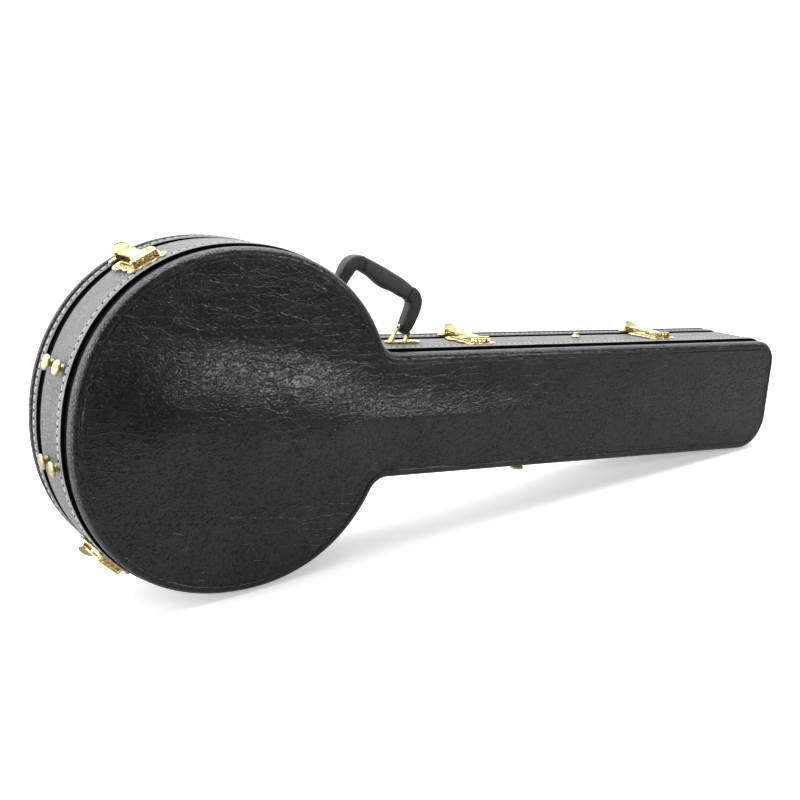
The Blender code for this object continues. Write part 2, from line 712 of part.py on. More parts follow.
def latch_base():
    """Base plate with two bored ears and four rivets."""
    plate = SHIELD_HALF + [SHIELD_TIP] + mirrored(SHIELD_HALF[1:])
    parts = [prism(plate, (0.0003, 0.0016))]
    ear = [(0.0036, -0.0043), (LATCH_KNUCKLE_R, 0.0)]
    ear += arc_points(LATCH_KNUCKLE_R, range(30, 180, 30))
    ear += [(-LATCH_KNUCKLE_R, 0.0), (-0.0036, -0.0043)]
    frame = Matrix.Translation((0, PIVOT_Y, PIVOT_Z)) @ YZ_ALONG_X
    for side in (-1, 1):
        span = sorted(side * x for x in EAR_X)
        parts.append(prism(ear, span, frame, [circle(LATCH_BORE_R, 8)]))
    parts += [rivet(x, y, radius=0.0026, edge_z=0.0020, crown_z=0.0030) for x, y in BASE_RIVETS]
    return union("latch_base", parts)


def lever():
    """Lever plate with its claw."""
    verts, faces = prism(TONGUE_SIDE, (-TONGUE_HALF, TONGUE_HALF), YZ_ALONG_X)
    # draw the pin end back so that the plate starts clear of the bore
    for v in verts:
        if v.y < 0.0005:
            v.y = TONGUE_START_TOP if v.z > 0.0025 else TONGUE_START_UNDER
    return verts, faces


def thumb():
    """Rounded thumb tab that rises over the lid."""
    loop = []
    for deg in range(0, 360, 30):
        a = math.radians(deg)
        loop.append((0.0085 * math.cos(a), 0.0100 * math.sin(a)))
    turn = Matrix.Rotation(math.radians(37), 4, "X")
    return prism(loop, (-0.0008, 0.0008), Matrix.Translation((0, 0.0715, 0.0092)) @ turn)


def latch_tongue():
    """Knuckle, lever and thumb tab, drawn about the lever pin."""
    barrel = knuckle(-TONGUE_KNUCKLE_HALF, TONGUE_KNUCKLE_HALF, LATCH_KNUCKLE_R, LATCH_BORE_R)
    return union("latch_tongue", [barrel, lever(), thumb()])


def latch_strike():
    """Plate on the lid with a lip for the claw and two rivets."""
    parts = [prism(STRIKE, (0.0003, 0.0015)), slab(-0.0085, 0.0085, 0.0062, 0.0076, 0.0010, 0.0052)]
    for x in (-0.0105, 0.0105):
        parts.append(rivet(x, 0.0115, radius=0.0019, edge_z=0.0017, crown_z=0.0026))
    return union("latch_strike", parts)


base_mesh, tongue_mesh, strike_mesh = latch_base(), latch_tongue(), latch_strike()
latch_pin_mesh = mesh_from("latch_pin", *cross_pin(LATCH_PIN_R, 8, LATCH_PIN_HALF))

latch_places = [drum_wall(deg, SEAM_Y) for deg in LATCH_DRUM_DEG]
latch_places += [neck_wall(x, SEAM_Y) for x in LATCH_NECK_X]
for k, place in enumerate(latch_places, 1):
    frame = wall_frame(*place)
    pivot_frame = frame @ Matrix.Translation((0, PIVOT_Y, PIVOT_Z))
    add_object(f"latch_base_{k}", base_mesh.copy(), PLATE_BRASS, matrix=frame)
    add_object(f"latch_strike_{k}", strike_mesh.copy(), PLATE_BRASS, matrix=frame)
    pivot = add_axis(f"latch_axis_{k}", pivot_frame)
    add_object(f"latch_tongue_{k}", tongue_mesh.copy(), BRIGHT_BRASS, parent=pivot)
    add_object(f"latch_pin_{k}", latch_pin_mesh.copy(), PIN_STEEL, matrix=pivot_frame)

# ---------------------------------------------------------------- handle
HANDLE_Y = 0.050
HANDLE_AXIS_X, HANDLE_AXIS_Z = 0.2305, 0.0947    # a point on the folding axis
HANDLE_AXIS_DEG = -29.3           # the axis slopes from drum shoulder to neck
# middle line of the handle from drum to neck: x, z, width in the case plane, depth in y
HANDLE_LINE = (
    (0.1417, 0.1436, 0.0080, 0.0085), (0.1430, 0.1470, 0.0115, 0.0110),
    (0.1460, 0.1535, 0.0150, 0.0150), (0.1500, 0.1612, 0.0165, 0.0165),
    (0.1538, 0.1668, 0.0172, 0.0175), (0.1588, 0.1700, 0.0178, 0.0180),
    (0.1650, 0.1706, 0.0182, 0.0190), (0.1708, 0.1692, 0.0186, 0.0195),
    (0.1772, 0.1666, 0.0184, 0.0205), (0.1840, 0.1636, 0.0190, 0.0210),
    (0.1910, 0.1600, 0.0204, 0.0215), (0.1990, 0.1556, 0.0222, 0.0220),
    (0.2070, 0.1517, 0.0226, 0.0220), (0.2150, 0.1487, 0.0214, 0.0215),
    (0.2235, 0.1452, 0.0206, 0.0210), (0.2310, 0.1412, 0.0198, 0.0205),
    (0.2390, 0.1375, 0.0190, 0.0195), (0.2455, 0.1333, 0.0184, 0.0185),
    (0.2492, 0.1276, 0.0180, 0.0180), (0.2493, 0.1212, 0.0176, 0.0175),
    (0.2474, 0.1144, 0.0170, 0.0165), (0.2445, 0.1065, 0.0158, 0.0155),
    (0.2412, 0.0985, 0.0138, 0.0130), (0.2390, 0.0935, 0.0112, 0.0105),
    (0.2375, 0.0893, 0.0085, 0.0090),
)
GRIP_FIRST, GRIP_LAST = 7, 16     # the smooth grip lies between these two sections
SECTION_ROUND = 0.38              # corner radius of a section of unit size
JOINT_GAP = 0.00015               # each piece stops this far short of a joint
DRUM_LEG_TIP = 0.0022             # how far each leg runs on past its last section
NECK_LEG_TIP = 0.0034
TIP_WIDTH, TIP_DEPTH = 0.62, 0.6  # size of a leg's tip against its last section
HANDLE_PIN_R = 0.0015
HANDLE_PIN_HALF = 0.0118
HANDLE_BORE_R = 0.0018

AX_DIR = Vector((math.cos(math.radians(HANDLE_AXIS_DEG)), 0,
                 math.sin(math.radians(HANDLE_AXIS_DEG))))
AX_POINT = Vector((HANDLE_AXIS_X, HANDLE_Y, HANDLE_AXIS_Z))
AX_UP = Vector((-AX_DIR.z, 0, AX_DIR.x))
LINE = [Vector((x, HANDLE_Y, z)) for x, z, _, _ in HANDLE_LINE]
LAST = len(LINE) - 1
# the pins sit on the axis beside the leg ends
DRUM_PIN = AX_POINT + AX_DIR * (LINE[0] - AX_POINT).dot(AX_DIR)
NECK_PIN = AX_POINT + AX_DIR * (LINE[-1] - AX_POINT).dot(AX_DIR)
HANDLE_FRAME = axes((DRUM_PIN + NECK_PIN) / 2, AX_UP, AX_DIR)
TO_HANDLE = HANDLE_FRAME.inverted()
handle_axis = add_axis("handle_axis", HANDLE_FRAME)


def handle_section(centre, along, width, depth):
    """Rounded ring square to the middle line, in the handle frame."""
    side = Vector((along.z, 0, -along.x))
    through = Vector((0, 1, 0))
    return np.array([tuple(TO_HANDLE @ (centre + side * (u * width) + through * (v * depth)))
                     for u, v in rounded(1.0, 1.0, SECTION_ROUND)])


def handle_piece(name, first, last, finish):
    """Lofted length of the handle between two sections; a leg's tip runs on past its pin."""
    rings = []
    for i in range(first, last + 1):
        along = (LINE[min(i + 1, LAST)] - LINE[max(i - 1, 0)]).normalized()
        width, depth = HANDLE_LINE[i][2:]
        tip_size = (width * TIP_WIDTH, depth * TIP_DEPTH)
        centre = LINE[i].copy()
        if i == first and first > 0:
            centre += along * JOINT_GAP
        if i == last and last < LAST:
            centre -= along * JOINT_GAP
        if i == 0:
            rings.append(handle_section(centre - along * DRUM_LEG_TIP, along, *tip_size))
        rings.append(handle_section(centre, along, width, depth))
        if i == LAST:
            rings.append(handle_section(centre + along * NECK_LEG_TIP, along, *tip_size))
    verts, faces = loft_rings(rings, False)
    n = len(rings[0])
    faces.append(tuple(range(n)))
    faces.append(tuple(range(len(verts) - 1, len(verts) - n - 1, -1)))
    return add_piece(name, (verts, faces), finish, parent=handle_axis, shade_smooth=True)


def bore_leg(leg, pin_centre):
    """Cut a bore along the folding axis through a leg, with a hidden cutter."""
    frame = Matrix.Translation(TO_HANDLE @ pin_centre)
    name = leg.name + "_cut"
    cutter = link_new(name, mesh_from(name, *prism(circle(HANDLE_BORE_R, 16), (-0.02, 0.02), frame)))
    cutter.parent = handle_axis
    cutter.hide_render = True
    cutter.display_type = "WIRE"
    mod = leg.modifiers.new("bore", "BOOLEAN")
    mod.operation, mod.solver, mod.object = "DIFFERENCE", "EXACT", cutter


bore_leg(handle_piece("handle_leg_drum", 0, GRIP_FIRST, LEG_BLACK), DRUM_PIN)
handle_piece("handle_grip", GRIP_FIRST, GRIP_LAST, GRIP_BLACK)
bore_leg(handle_piece("handle_leg_neck", GRIP_LAST, LAST, LEG_BLACK), NECK_PIN)

# ---------------------------------------------------------------- handle brackets
BRACKET_EAR_OFFSET = 0.0090       # ear middle from the leg's middle, along the axis
BRACKET_EAR_R = 0.0038
BRACKET_EAR_HALF_W = 0.0045       # half width of the ear at its foot
BRACKET_EAR_HALF_T = 0.0011
BRACKET_EAR_ROOT = 0.0012         # where the ear's foot ends over the wall
NECK_BRACKET_SHIFT = 0.01         # times SLOPE: shift of the neck bracket towards the drum


def bracket(place, pin_centre, point, normal):
    """Base plate on the wall with two bored ears on the folding axis, and its pin."""
    name = f"handle_bracket_{place}"
    plate_frame = wall_frame(point, normal)
    parts = [prism(rounded(0.046, 0.019, 0.006), (0.0004, 0.0018), plate_frame)]
    for side in (-1, 1):
        at = pin_centre + AX_DIR * (side * BRACKET_EAR_OFFSET)
        # the ear stands from plate to axis, square to the axis
        height = (plate_frame.inverted() @ at).z
        foot = -height / max(AX_UP.dot(normal), 0.2) + BRACKET_EAR_ROOT
        loop = [(foot, BRACKET_EAR_HALF_W), (foot, -BRACKET_EAR_HALF_W)]
        loop += arc_points(BRACKET_EAR_R, range(-110, 111, 20))
        parts.append(prism(loop, (-BRACKET_EAR_HALF_T, BRACKET_EAR_HALF_T),
                           axes(at, AX_UP, AX_DIR), [circle(HANDLE_BORE_R, 12)]))
    add_object(name, union(name, parts), PLATE_BRASS)
    pin = prism(circle(HANDLE_PIN_R, 12), (-HANDLE_PIN_HALF, HANDLE_PIN_HALF),
                axes(pin_centre, AX_UP, AX_DIR))
    add_piece(f"handle_pin_{place}", pin, PIN_STEEL)


drum_bracket_deg = nearest_on_drum(Vector((DRUM_PIN.x, DRUM_PIN.z)), 900, 10)[1]
bracket("drum", DRUM_PIN, *drum_wall(drum_bracket_deg, HANDLE_Y))
bracket("neck", NECK_PIN, *neck_wall(NECK_PIN.x - SLOPE * NECK_BRACKET_SHIFT, HANDLE_Y))

# ---------------------------------------------------------------- feet and stud
FOOT_R = 0.0090
FOOT_H = 0.0085
DRUM_FEET = ((162.7, 0.0305), (162.7, 0.0625), (192.7, 0.0245), (192.7, 0.0560))  # degrees, y
NECK_FOOT = (0.414, 0.0165)       # x, y
NECK_STUD = (0.533, 0.058)        # x, y
# (radius, height over the wall)
FOOT_PROFILE = [
    (0, 0.0004), (0.0062, 0.0004), (0.0062, 0.0012), (0.0048, 0.0020), (0.0048, 0.0044),
    (FOOT_R - 0.0006, 0.0050), (FOOT_R, 0.0060), (FOOT_R - 0.0010, 0.0074),
    (FOOT_R - 0.0042, FOOT_H), (0, FOOT_H),
]
STUD_PROFILE = [(0, 0.0004), (0.0060, 0.0004), (0.0060, 0.0016), (0.0042, 0.0026),
                (0.0034, 0.0050), (0.0024, 0.0058), (0, 0.0060)]

foot_mesh = mesh_from("foot", *lathe(FOOT_PROFILE, 16))
foot_places = [drum_wall(deg, y) for deg, y in DRUM_FEET] + [neck_wall(*NECK_FOOT, side=-1)]
for k, (point, normal) in enumerate(foot_places, 1):
    add_object(f"stud_foot_{k}", foot_mesh.copy(), BRIGHT_BRASS,
               matrix=axes(point, (0, 1, 0), normal))

add_piece("neck_stud", lathe(STUD_PROFILE, 16), PLATE_BRASS,
          matrix=wall_frame(*neck_wall(*NECK_STUD)))

# ---------------------------------------------------------------- lid hinges
# drawn in the standing frame, X along the floor and Z up, then moved into the case frame
HINGE_DEPTH = 0.0025     # hinge axis above the standing line
HINGE_KNUCKLE_R = 0.0022
HINGE_BORE_R = 0.0014
HINGE_PIN_R = 0.0011
HINGE_HALF = (0.030, 0.017)      # half lengths, drum and neck end
HINGE_KNUCKLES = 5
HINGE_KNUCKLE_GAP = 0.0003       # taken off each knuckle where it meets another
LEAF_Y = (0.0009, 0.0017)        # faces of a leaf, from the axis
LEAF_Z = (0.0026, 0.0049)
WEB_Z = (0.0013, 0.0030)         # joins a knuckle to its leaf
WEB_INSET = 0.0001
HINGE_X = (
    float(FLAT_X[ON_DRUM][FLAT_Z[ON_DRUM].argmin()]),
    float(FLAT_X[~ON_DRUM][FLAT_Z[~ON_DRUM].argmin()]) - 0.004,
)


def hinge_leaf(name, half, side):
    """A plate on the rim and its share of the knuckles; side is -1 on the back half."""
    y0, y1 = sorted(side * y for y in LEAF_Y)
    parts = [slab(-half, half, y0, y1, *LEAF_Z)]
    step = 2 * half / HINGE_KNUCKLES
    # the back half has the even knuckles, the lid the odd ones
    for i in range(0 if side < 0 else 1, HINGE_KNUCKLES, 2):
        x0 = -half + i * step + (HINGE_KNUCKLE_GAP if i else 0.0)
        x1 = -half + (i + 1) * step - (HINGE_KNUCKLE_GAP if i < HINGE_KNUCKLES - 1 else 0.0)
        parts.append(knuckle(x0, x1, HINGE_KNUCKLE_R, HINGE_BORE_R))
        parts.append(slab(x0 + WEB_INSET, x1 - WEB_INSET, y0, y1, *WEB_Z))
    return union(name, parts)


hinge_frames = [FROM_STANDING @ Matrix.Translation((x, SEAM_Y, HINGE_DEPTH)) for x in HINGE_X]
add_axis("hinge_axis", hinge_frames[0])
for k, (frame, half) in enumerate(zip(hinge_frames, HINGE_HALF), 1):
    for name, side in ((f"hinge_box_leaf_{k}", -1), (f"hinge_lid_leaf_{k}", 1)):
        add_object(name, hinge_leaf(name, half, side), HINGE_BRASS, matrix=frame)
    add_piece(f"hinge_pin_{k}", cross_pin(HINGE_PIN_R, 8, half), PIN_STEEL, matrix=frame)


# ---------------------------------------------------------------- stand the case up
def visible_bounds():
    """Lowest and highest world corners of every rendered mesh."""
    graph = bpy.context.evaluated_depsgraph_get()
    low, high = np.full(3, 1e9), np.full(3, -1e9)
    for obj in bpy.data.objects:
        if obj.type == "MESH" and not obj.hide_render:
            world = np.array(obj.matrix_world)
            local = np.array([v.co for v in obj.evaluated_get(graph).data.vertices])
            points = local @ world[:3, :3].T + world[:3, 3]
            low, high = np.minimum(low, points.min(0)), np.maximum(high, points.max(0))
    return low, high


case.matrix_world = CASE
bpy.context.view_layer.update()
low, high = visible_bounds()
middle = (low + high) / 2
case.matrix_world = Matrix.Translation((-middle[0], -middle[1], -low[2])) @ CASE
bpy.context.view_layer.update()
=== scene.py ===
"""Looks of the hard-shell banjo case: leatherette shell, stitched edges, gold hardware, plush inside.

Case frame, as in the CAD: X along the case towards the neck end, Y from the arched back
panel towards the lid, Z up the face towards the handle. Everything is drawn in that frame
and then moved to the row frame by CASE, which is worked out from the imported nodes.
"""

import json
import math

import bmesh
import bpy
import numpy as np
from mathutils import Matrix, Vector
from mathutils.geometry import delaunay_2d_cdt, tessellate_polygon

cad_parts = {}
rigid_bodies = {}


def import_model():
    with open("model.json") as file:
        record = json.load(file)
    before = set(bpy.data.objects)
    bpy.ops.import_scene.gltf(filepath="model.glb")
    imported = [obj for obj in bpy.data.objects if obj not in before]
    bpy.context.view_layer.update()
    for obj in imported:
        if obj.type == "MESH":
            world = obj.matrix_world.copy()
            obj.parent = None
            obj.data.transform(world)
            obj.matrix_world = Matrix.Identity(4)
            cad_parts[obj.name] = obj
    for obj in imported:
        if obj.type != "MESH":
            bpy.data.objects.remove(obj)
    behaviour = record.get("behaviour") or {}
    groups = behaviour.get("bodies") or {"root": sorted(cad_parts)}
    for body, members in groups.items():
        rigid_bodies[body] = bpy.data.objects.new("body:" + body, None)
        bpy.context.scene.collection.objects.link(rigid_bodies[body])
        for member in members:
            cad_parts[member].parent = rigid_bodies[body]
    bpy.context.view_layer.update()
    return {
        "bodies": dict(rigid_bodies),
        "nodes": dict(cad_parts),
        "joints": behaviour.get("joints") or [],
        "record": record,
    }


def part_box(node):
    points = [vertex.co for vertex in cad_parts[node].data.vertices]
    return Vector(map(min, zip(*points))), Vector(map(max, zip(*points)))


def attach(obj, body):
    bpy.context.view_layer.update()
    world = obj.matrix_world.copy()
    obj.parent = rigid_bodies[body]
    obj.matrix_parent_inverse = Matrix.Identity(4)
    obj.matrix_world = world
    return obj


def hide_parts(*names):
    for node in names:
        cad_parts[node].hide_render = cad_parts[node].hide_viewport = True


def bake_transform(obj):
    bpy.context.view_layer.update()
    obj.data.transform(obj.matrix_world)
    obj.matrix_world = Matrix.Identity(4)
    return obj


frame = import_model()

# ---------------------------------------------------------------- dimensions shared with the CAD
DRUM_R, DRUM_EXP = 0.1905, 2.12
NECK_END, NECK_X0, NECK_HALF0, NECK_HALF1 = 0.878, 0.193, 0.0761, 0.0832
SHOULDER_R, CORNER_TOP_R, CORNER_LOW_R = 0.022, 0.034, 0.052
WALL, PAD, SEAM_Y = 0.0075, 0.008, 0.0825
ARCH_H, ARCH_TIP = 0.016, (0.4585, 0.0035)
PANEL_Y, LID_FACE_Y = -0.0135, 0.1165
LATCH_DRUM_DEG, LATCH_NECK_X = (121.5, 230.0), (0.340, 0.668)
FOOT_R, FOOT_H = 0.0090, 0.0085
FOOT_PLACES = ((162.7, 0.0305), (162.7, 0.0625), (192.7, 0.0245), (192.7, 0.0560))
NECK_FOOT_X, NECK_STUD_X = 0.414, 0.533
HANDLE_Y, HANDLE_AXIS_P, HANDLE_AXIS_DEG = 0.050, (0.2305, 0.0947), -29.3
HANDLE_LINE = (
    (0.1417, 0.1436, 0.0080, 0.0085), (0.1430, 0.1470, 0.0115, 0.0110),
    (0.1460, 0.1535, 0.0150, 0.0150), (0.1500, 0.1612, 0.0165, 0.0165),
    (0.1538, 0.1668, 0.0172, 0.0175), (0.1588, 0.1700, 0.0178, 0.0180),
    (0.1650, 0.1706, 0.0182, 0.0190), (0.1708, 0.1692, 0.0186, 0.0195),
    (0.1772, 0.1666, 0.0184, 0.0205), (0.1840, 0.1636, 0.0190, 0.0210),
    (0.1910, 0.1600, 0.0204, 0.0215), (0.1990, 0.1556, 0.0222, 0.0220),
    (0.2070, 0.1517, 0.0226, 0.0220), (0.2150, 0.1487, 0.0214, 0.0215),
    (0.2235, 0.1452, 0.0206, 0.0210), (0.2310, 0.1412, 0.0198, 0.0205),
    (0.2390, 0.1375, 0.0190, 0.0195), (0.2455, 0.1333, 0.0184, 0.0185),
    (0.2492, 0.1276, 0.0180, 0.0180), (0.2493, 0.1212, 0.0176, 0.0175),
    (0.2474, 0.1144, 0.0170, 0.0165), (0.2445, 0.1065, 0.0158, 0.0155),
    (0.2412, 0.0985, 0.0138, 0.0130), (0.2390, 0.0935, 0.0112, 0.0105),
    (0.2375, 0.0893, 0.0085, 0.0090),
)
SLOPE = (NECK_HALF1 - NECK_HALF0) / (NECK_END - NECK_X0)
NECK_N = np.array([-SLOPE, 1.0]) / math.hypot(SLOPE, 1.0)


# ---------------------------------------------------------------- outline
def drum_point(deg, r=DRUM_R):
    c, s = math.cos(math.radians(deg)), math.sin(math.radians(deg))
    k = r / (abs(c) ** DRUM_EXP + abs(s) ** DRUM_EXP) ** (1 / DRUM_EXP)
    return np.array([k * c, k * s])


def drum_normal(deg):
    p = drum_point(deg)
    n = np.array([math.copysign(abs(p[0]) ** (DRUM_EXP - 1), p[0]), math.copysign(abs(p[1]) ** (DRUM_EXP - 1), p[1])])
    return n / np.linalg.norm(n)


def neck_half(x):
    return NECK_HALF0 + SLOPE * (x - NECK_X0)


def shoulder():
    table = np.array([drum_point(a / 20) for a in range(1200)])

    def nearest(c):
        d = np.linalg.norm(table - c, axis=1)
        return d.min(), d.argmin() / 20

    lo, hi = DRUM_R * 0.9, DRUM_R + 2 * SHOULDER_R
    for _ in range(24):
        x = (lo + hi) / 2
        c = np.array([x, neck_half(x)]) + NECK_N * SHOULDER_R
        if nearest(c)[0] < SHOULDER_R:
            lo = x
        else:
            hi = x
    return c, nearest(c)[1]


def arc(centre, radius, a0, a1, count, inward=False):
    out = []
    for i in range(count + 1):
        a = a0 + (a1 - a0) * i / count
        d = np.array([math.cos(a), math.sin(a)])
        out.append((centre + d * radius, -d if inward else d))
    return out


def dense_outline():
    """Closely spaced points of the outline with outward normals, anticlockwise from the upper shoulder."""
    c0, deg0 = shoulder()
    d = drum_point(deg0) - c0
    a_line = math.atan2(-NECK_N[1], -NECK_N[0]) % (2 * math.pi)
    a_drum = math.atan2(d[1], d[0]) % (2 * math.pi)
    upper = arc(c0, SHOULDER_R, a_line, a_drum, 60, inward=True)
    pts = upper[:-1]
    for i in range(1501):
        deg = deg0 + (360 - 2 * deg0) * i / 1500
        pts.append((drum_point(deg), drum_normal(deg)))
    flip = np.array([1.0, -1.0])
    pts += [(p * flip, n * flip) for p, n in reversed(upper[:-1])]
    low_n = NECK_N * flip
    xc = NECK_END - CORNER_LOW_R
    c_low = np.array([xc, -neck_half(xc) + CORNER_LOW_R / NECK_N[1]])
    start = c_low + low_n * CORNER_LOW_R
    x0 = pts[-1][0][0]
    for i in range(1, 900):
        x = x0 + (start[0] - x0) * i / 900
        pts.append((np.array([x, -neck_half(x)]), low_n))
    pts += arc(c_low, CORNER_LOW_R, math.atan2(low_n[1], low_n[0]), 0.0, 90)
    xc = NECK_END - CORNER_TOP_R
    c_top = np.array([xc, neck_half(xc) - CORNER_TOP_R / NECK_N[1]])
    for i in range(1, 80):
        pts.append((np.array([NECK_END, c_low[1] + (c_top[1] - c_low[1]) * i / 80]), np.array([1.0, 0.0])))
    pts += arc(c_top, CORNER_TOP_R, 0.0, math.atan2(NECK_N[1], NECK_N[0]), 70)
    x0, x1 = pts[-1][0][0], pts[0][0][0]
    for i in range(1, 900):
        x = x0 + (x1 - x0) * i / 900
        pts.append((np.array([x, neck_half(x)]), NECK_N))
    return np.array([p for p, _ in pts]), np.array([n for _, n in pts])


DP, DN = dense_outline()
SEG = np.linalg.norm(np.roll(DP, -1, 0) - DP, axis=1)
ARC = np.concatenate([[0.0], np.cumsum(SEG)])
LENGTH = ARC[-1]


def along(s):
    """Outline points and normals at the arc lengths s."""
    s = np.mod(s, LENGTH)
    p = np.concatenate([DP, DP[:1]])
    n = np.concatenate([DN, DN[:1]])
    q = np.stack([np.interp(s, ARC, p[:, k]) for k in (0, 1)], -1)
    m = np.stack([np.interp(s, ARC, n[:, k]) for k in (0, 1)], -1)
    return q, m / np.linalg.norm(m, axis=-1, keepdims=True)


# ---------------------------------------------------------------- where the case stands
def low_point(tilt, first):
    z = -DP[:, 0] * math.sin(tilt) + DP[:, 1] * math.cos(tilt)
    return z[(DP[:, 0] < 0.2) if first else (DP[:, 0] > 0.2)].min()


lo_t, hi_t = 0.0, 0.4
for _ in range(50):
    TILT = (lo_t + hi_t) / 2
    if low_point(TILT, False) > low_point(TILT, True):
        lo_t = TILT
    else:
        hi_t = TILT
flat_x = DP[:, 0] * math.cos(TILT) + DP[:, 1] * math.sin(TILT)
wall_low, wall_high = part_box("box_wall")
CASE = Matrix.Translation((wall_low.x - flat_x.min(), wall_low.y - 0.0090, -low_point(TILT, True))) @ Matrix.Rotation(TILT, 4, "Y")
CR = np.array(CASE.to_3x3())
CT = np.array(CASE.translation)
HINGES = [j for j in frame["joints"] if j["name"] == "lid_hinge"]
HINGE_POS = Vector(HINGES[0]["pos_m"])


# ---------------------------------------------------------------- numpy noise
def _hash(ix, iz, seed):
    h = (ix.astype(np.int64) * 374761393 + iz.astype(np.int64) * 668265263 + seed * 974711 + 1013904223) & 0xFFFFFFFF
    h = ((h ^ (h >> 13)) * 1274126177) & 0xFFFFFFFF
    return ((h ^ (h >> 16)) & 0xFFFF) / 65535.0


def vnoise(x, z, seed=0):
    """Smooth noise from 0 to 1 with one cell per unit."""
    x, z = np.asarray(x, float), np.asarray(z, float)
    ix, iz = np.floor(x), np.floor(z)
    fx, fz = x - ix, z - iz
    fx, fz = fx * fx * (3 - 2 * fx), fz * fz * (3 - 2 * fz)
    a, b = _hash(ix, iz, seed), _hash(ix + 1, iz, seed)
    c, d = _hash(ix, iz + 1, seed), _hash(ix + 1, iz + 1, seed)
    return (a + (b - a) * fx) * (1 - fz) + (c + (d - c) * fx) * fz


def cells(x, z, seed=0):
    """Second minus first distance to scattered points: near 0 on the borders between cells."""
    x, z = np.asarray(x, float), np.asarray(z, float)
    ix, iz = np.floor(x), np.floor(z)
    f1, f2 = np.full(x.shape, 9.0), np.full(x.shape, 9.0)
    for dx in (-1, 0, 1):
        for dz in (-1, 0, 1):
            cx, cz = ix + dx, iz + dz
            d = np.hypot(cx + _hash(cx, cz, seed) - x, cz + _hash(cx, cz, seed + 7) - z)
            f2 = np.where(d < f1, f1, np.minimum(f2, d))
            f1 = np.minimum(f1, d)
    return f2 - f1


def sstep(a, b, t):
    t = np.clip((t - a) / (b - a), 0, 1)
    return t * t * (3 - 2 * t)


# ---------------------------------------------------------------- materials
def tree(name):
    mat = bpy.data.materials.new(name)
    mat.use_nodes = True
    nt = mat.node_tree
    nt.nodes.clear()
    out = nt.nodes.new("ShaderNodeOutputMaterial")
    bsdf = nt.nodes.new("ShaderNodeBsdfPrincipled")
    nt.links.new(bsdf.outputs[0], out.inputs[0])
    return mat, nt, bsdf


class Nodes:
    """Short calls for building a node tree."""

    def __init__(self, nt):
        self.nt = nt

    def put(self, kind, **inputs):
        node = self.nt.nodes.new(kind)
        for key, value in inputs.items():
            self.set(node, key, value)
        return node

    def set(self, node, key, value):
        socket = node.inputs[int(key[1:])] if key[0] == "i" and key[1:].isdigit() else node.inputs[key]
        if isinstance(value, bpy.types.NodeSocket):
            self.nt.links.new(value, socket)
        else:
            socket.default_value = value

    def coords(self, scale=(1, 1, 1), rotate=True, kind="Object"):
        tc = self.put("ShaderNodeTexCoord")
        turn = self.put("ShaderNodeMapping")
        self.nt.links.new(tc.outputs[kind], turn.inputs["Vector"])
        if rotate:
            turn.inputs["Rotation"].default_value = (0, -TILT, 0)
        size = self.put("ShaderNodeMapping")
        size.inputs["Scale"].default_value = scale
        self.nt.links.new(turn.outputs[0], size.inputs["Vector"])
        return size.outputs[0]

    def noise(self, vec, scale, detail=2.0, rough=0.5, out=0):
        n = self.put("ShaderNodeTexNoise", Vector=vec, Scale=scale, Detail=detail, Roughness=rough)
        return n.outputs[out]

    def voronoi(self, vec, scale, feature="F1", out="Distance", randomness=1.0):
        n = self.put("ShaderNodeTexVoronoi")
        n.feature = feature
        self.set(n, "Vector", vec)
        self.set(n, "Scale", scale)
        self.set(n, "Randomness", randomness)
        return n.outputs[out]

    def math(self, op, a, b=None, c=None, clamp=False):
        n = self.put("ShaderNodeMath")
        n.operation = op
        n.use_clamp = clamp
        for k, v in enumerate((a, b, c)):
            if v is not None:
                self.set(n, f"i{k}", v)
        return n.outputs[0]

    def vmath(self, op, a, b=None, scale=None):
        n = self.put("ShaderNodeVectorMath")
        n.operation = op
        self.set(n, "i0", a)
        if b is not None:
            self.set(n, "i1", b)
        if scale is not None:
            self.set(n, "Scale", scale)
        return n.outputs[0]

    def ramp(self, value, lo, hi, a=0.0, b=1.0, smooth=True):
        n = self.put("ShaderNodeMapRange")
        n.interpolation_type = "SMOOTHSTEP" if smooth else "LINEAR"
        self.set(n, "Value", value)
        for key, v in (("From Min", lo), ("From Max", hi), ("To Min", a), ("To Max", b)):
            self.set(n, key, v)
        return n.outputs[0]

    def mix(self, fac, a, b):
        n = self.put("ShaderNodeMix")
        n.data_type = "RGBA"
        self.set(n, "i0", fac)
        self.set(n, "i6", a)
        self.set(n, "i7", b)
        return n.outputs[2]

    def bump(self, height, distance, strength=1.0, normal=None):
        n = self.put("ShaderNodeBump", Height=height, Distance=distance, Strength=strength)
        if normal is not None:
            self.nt.links.new(normal, n.inputs["Normal"])
        return n.outputs[0]


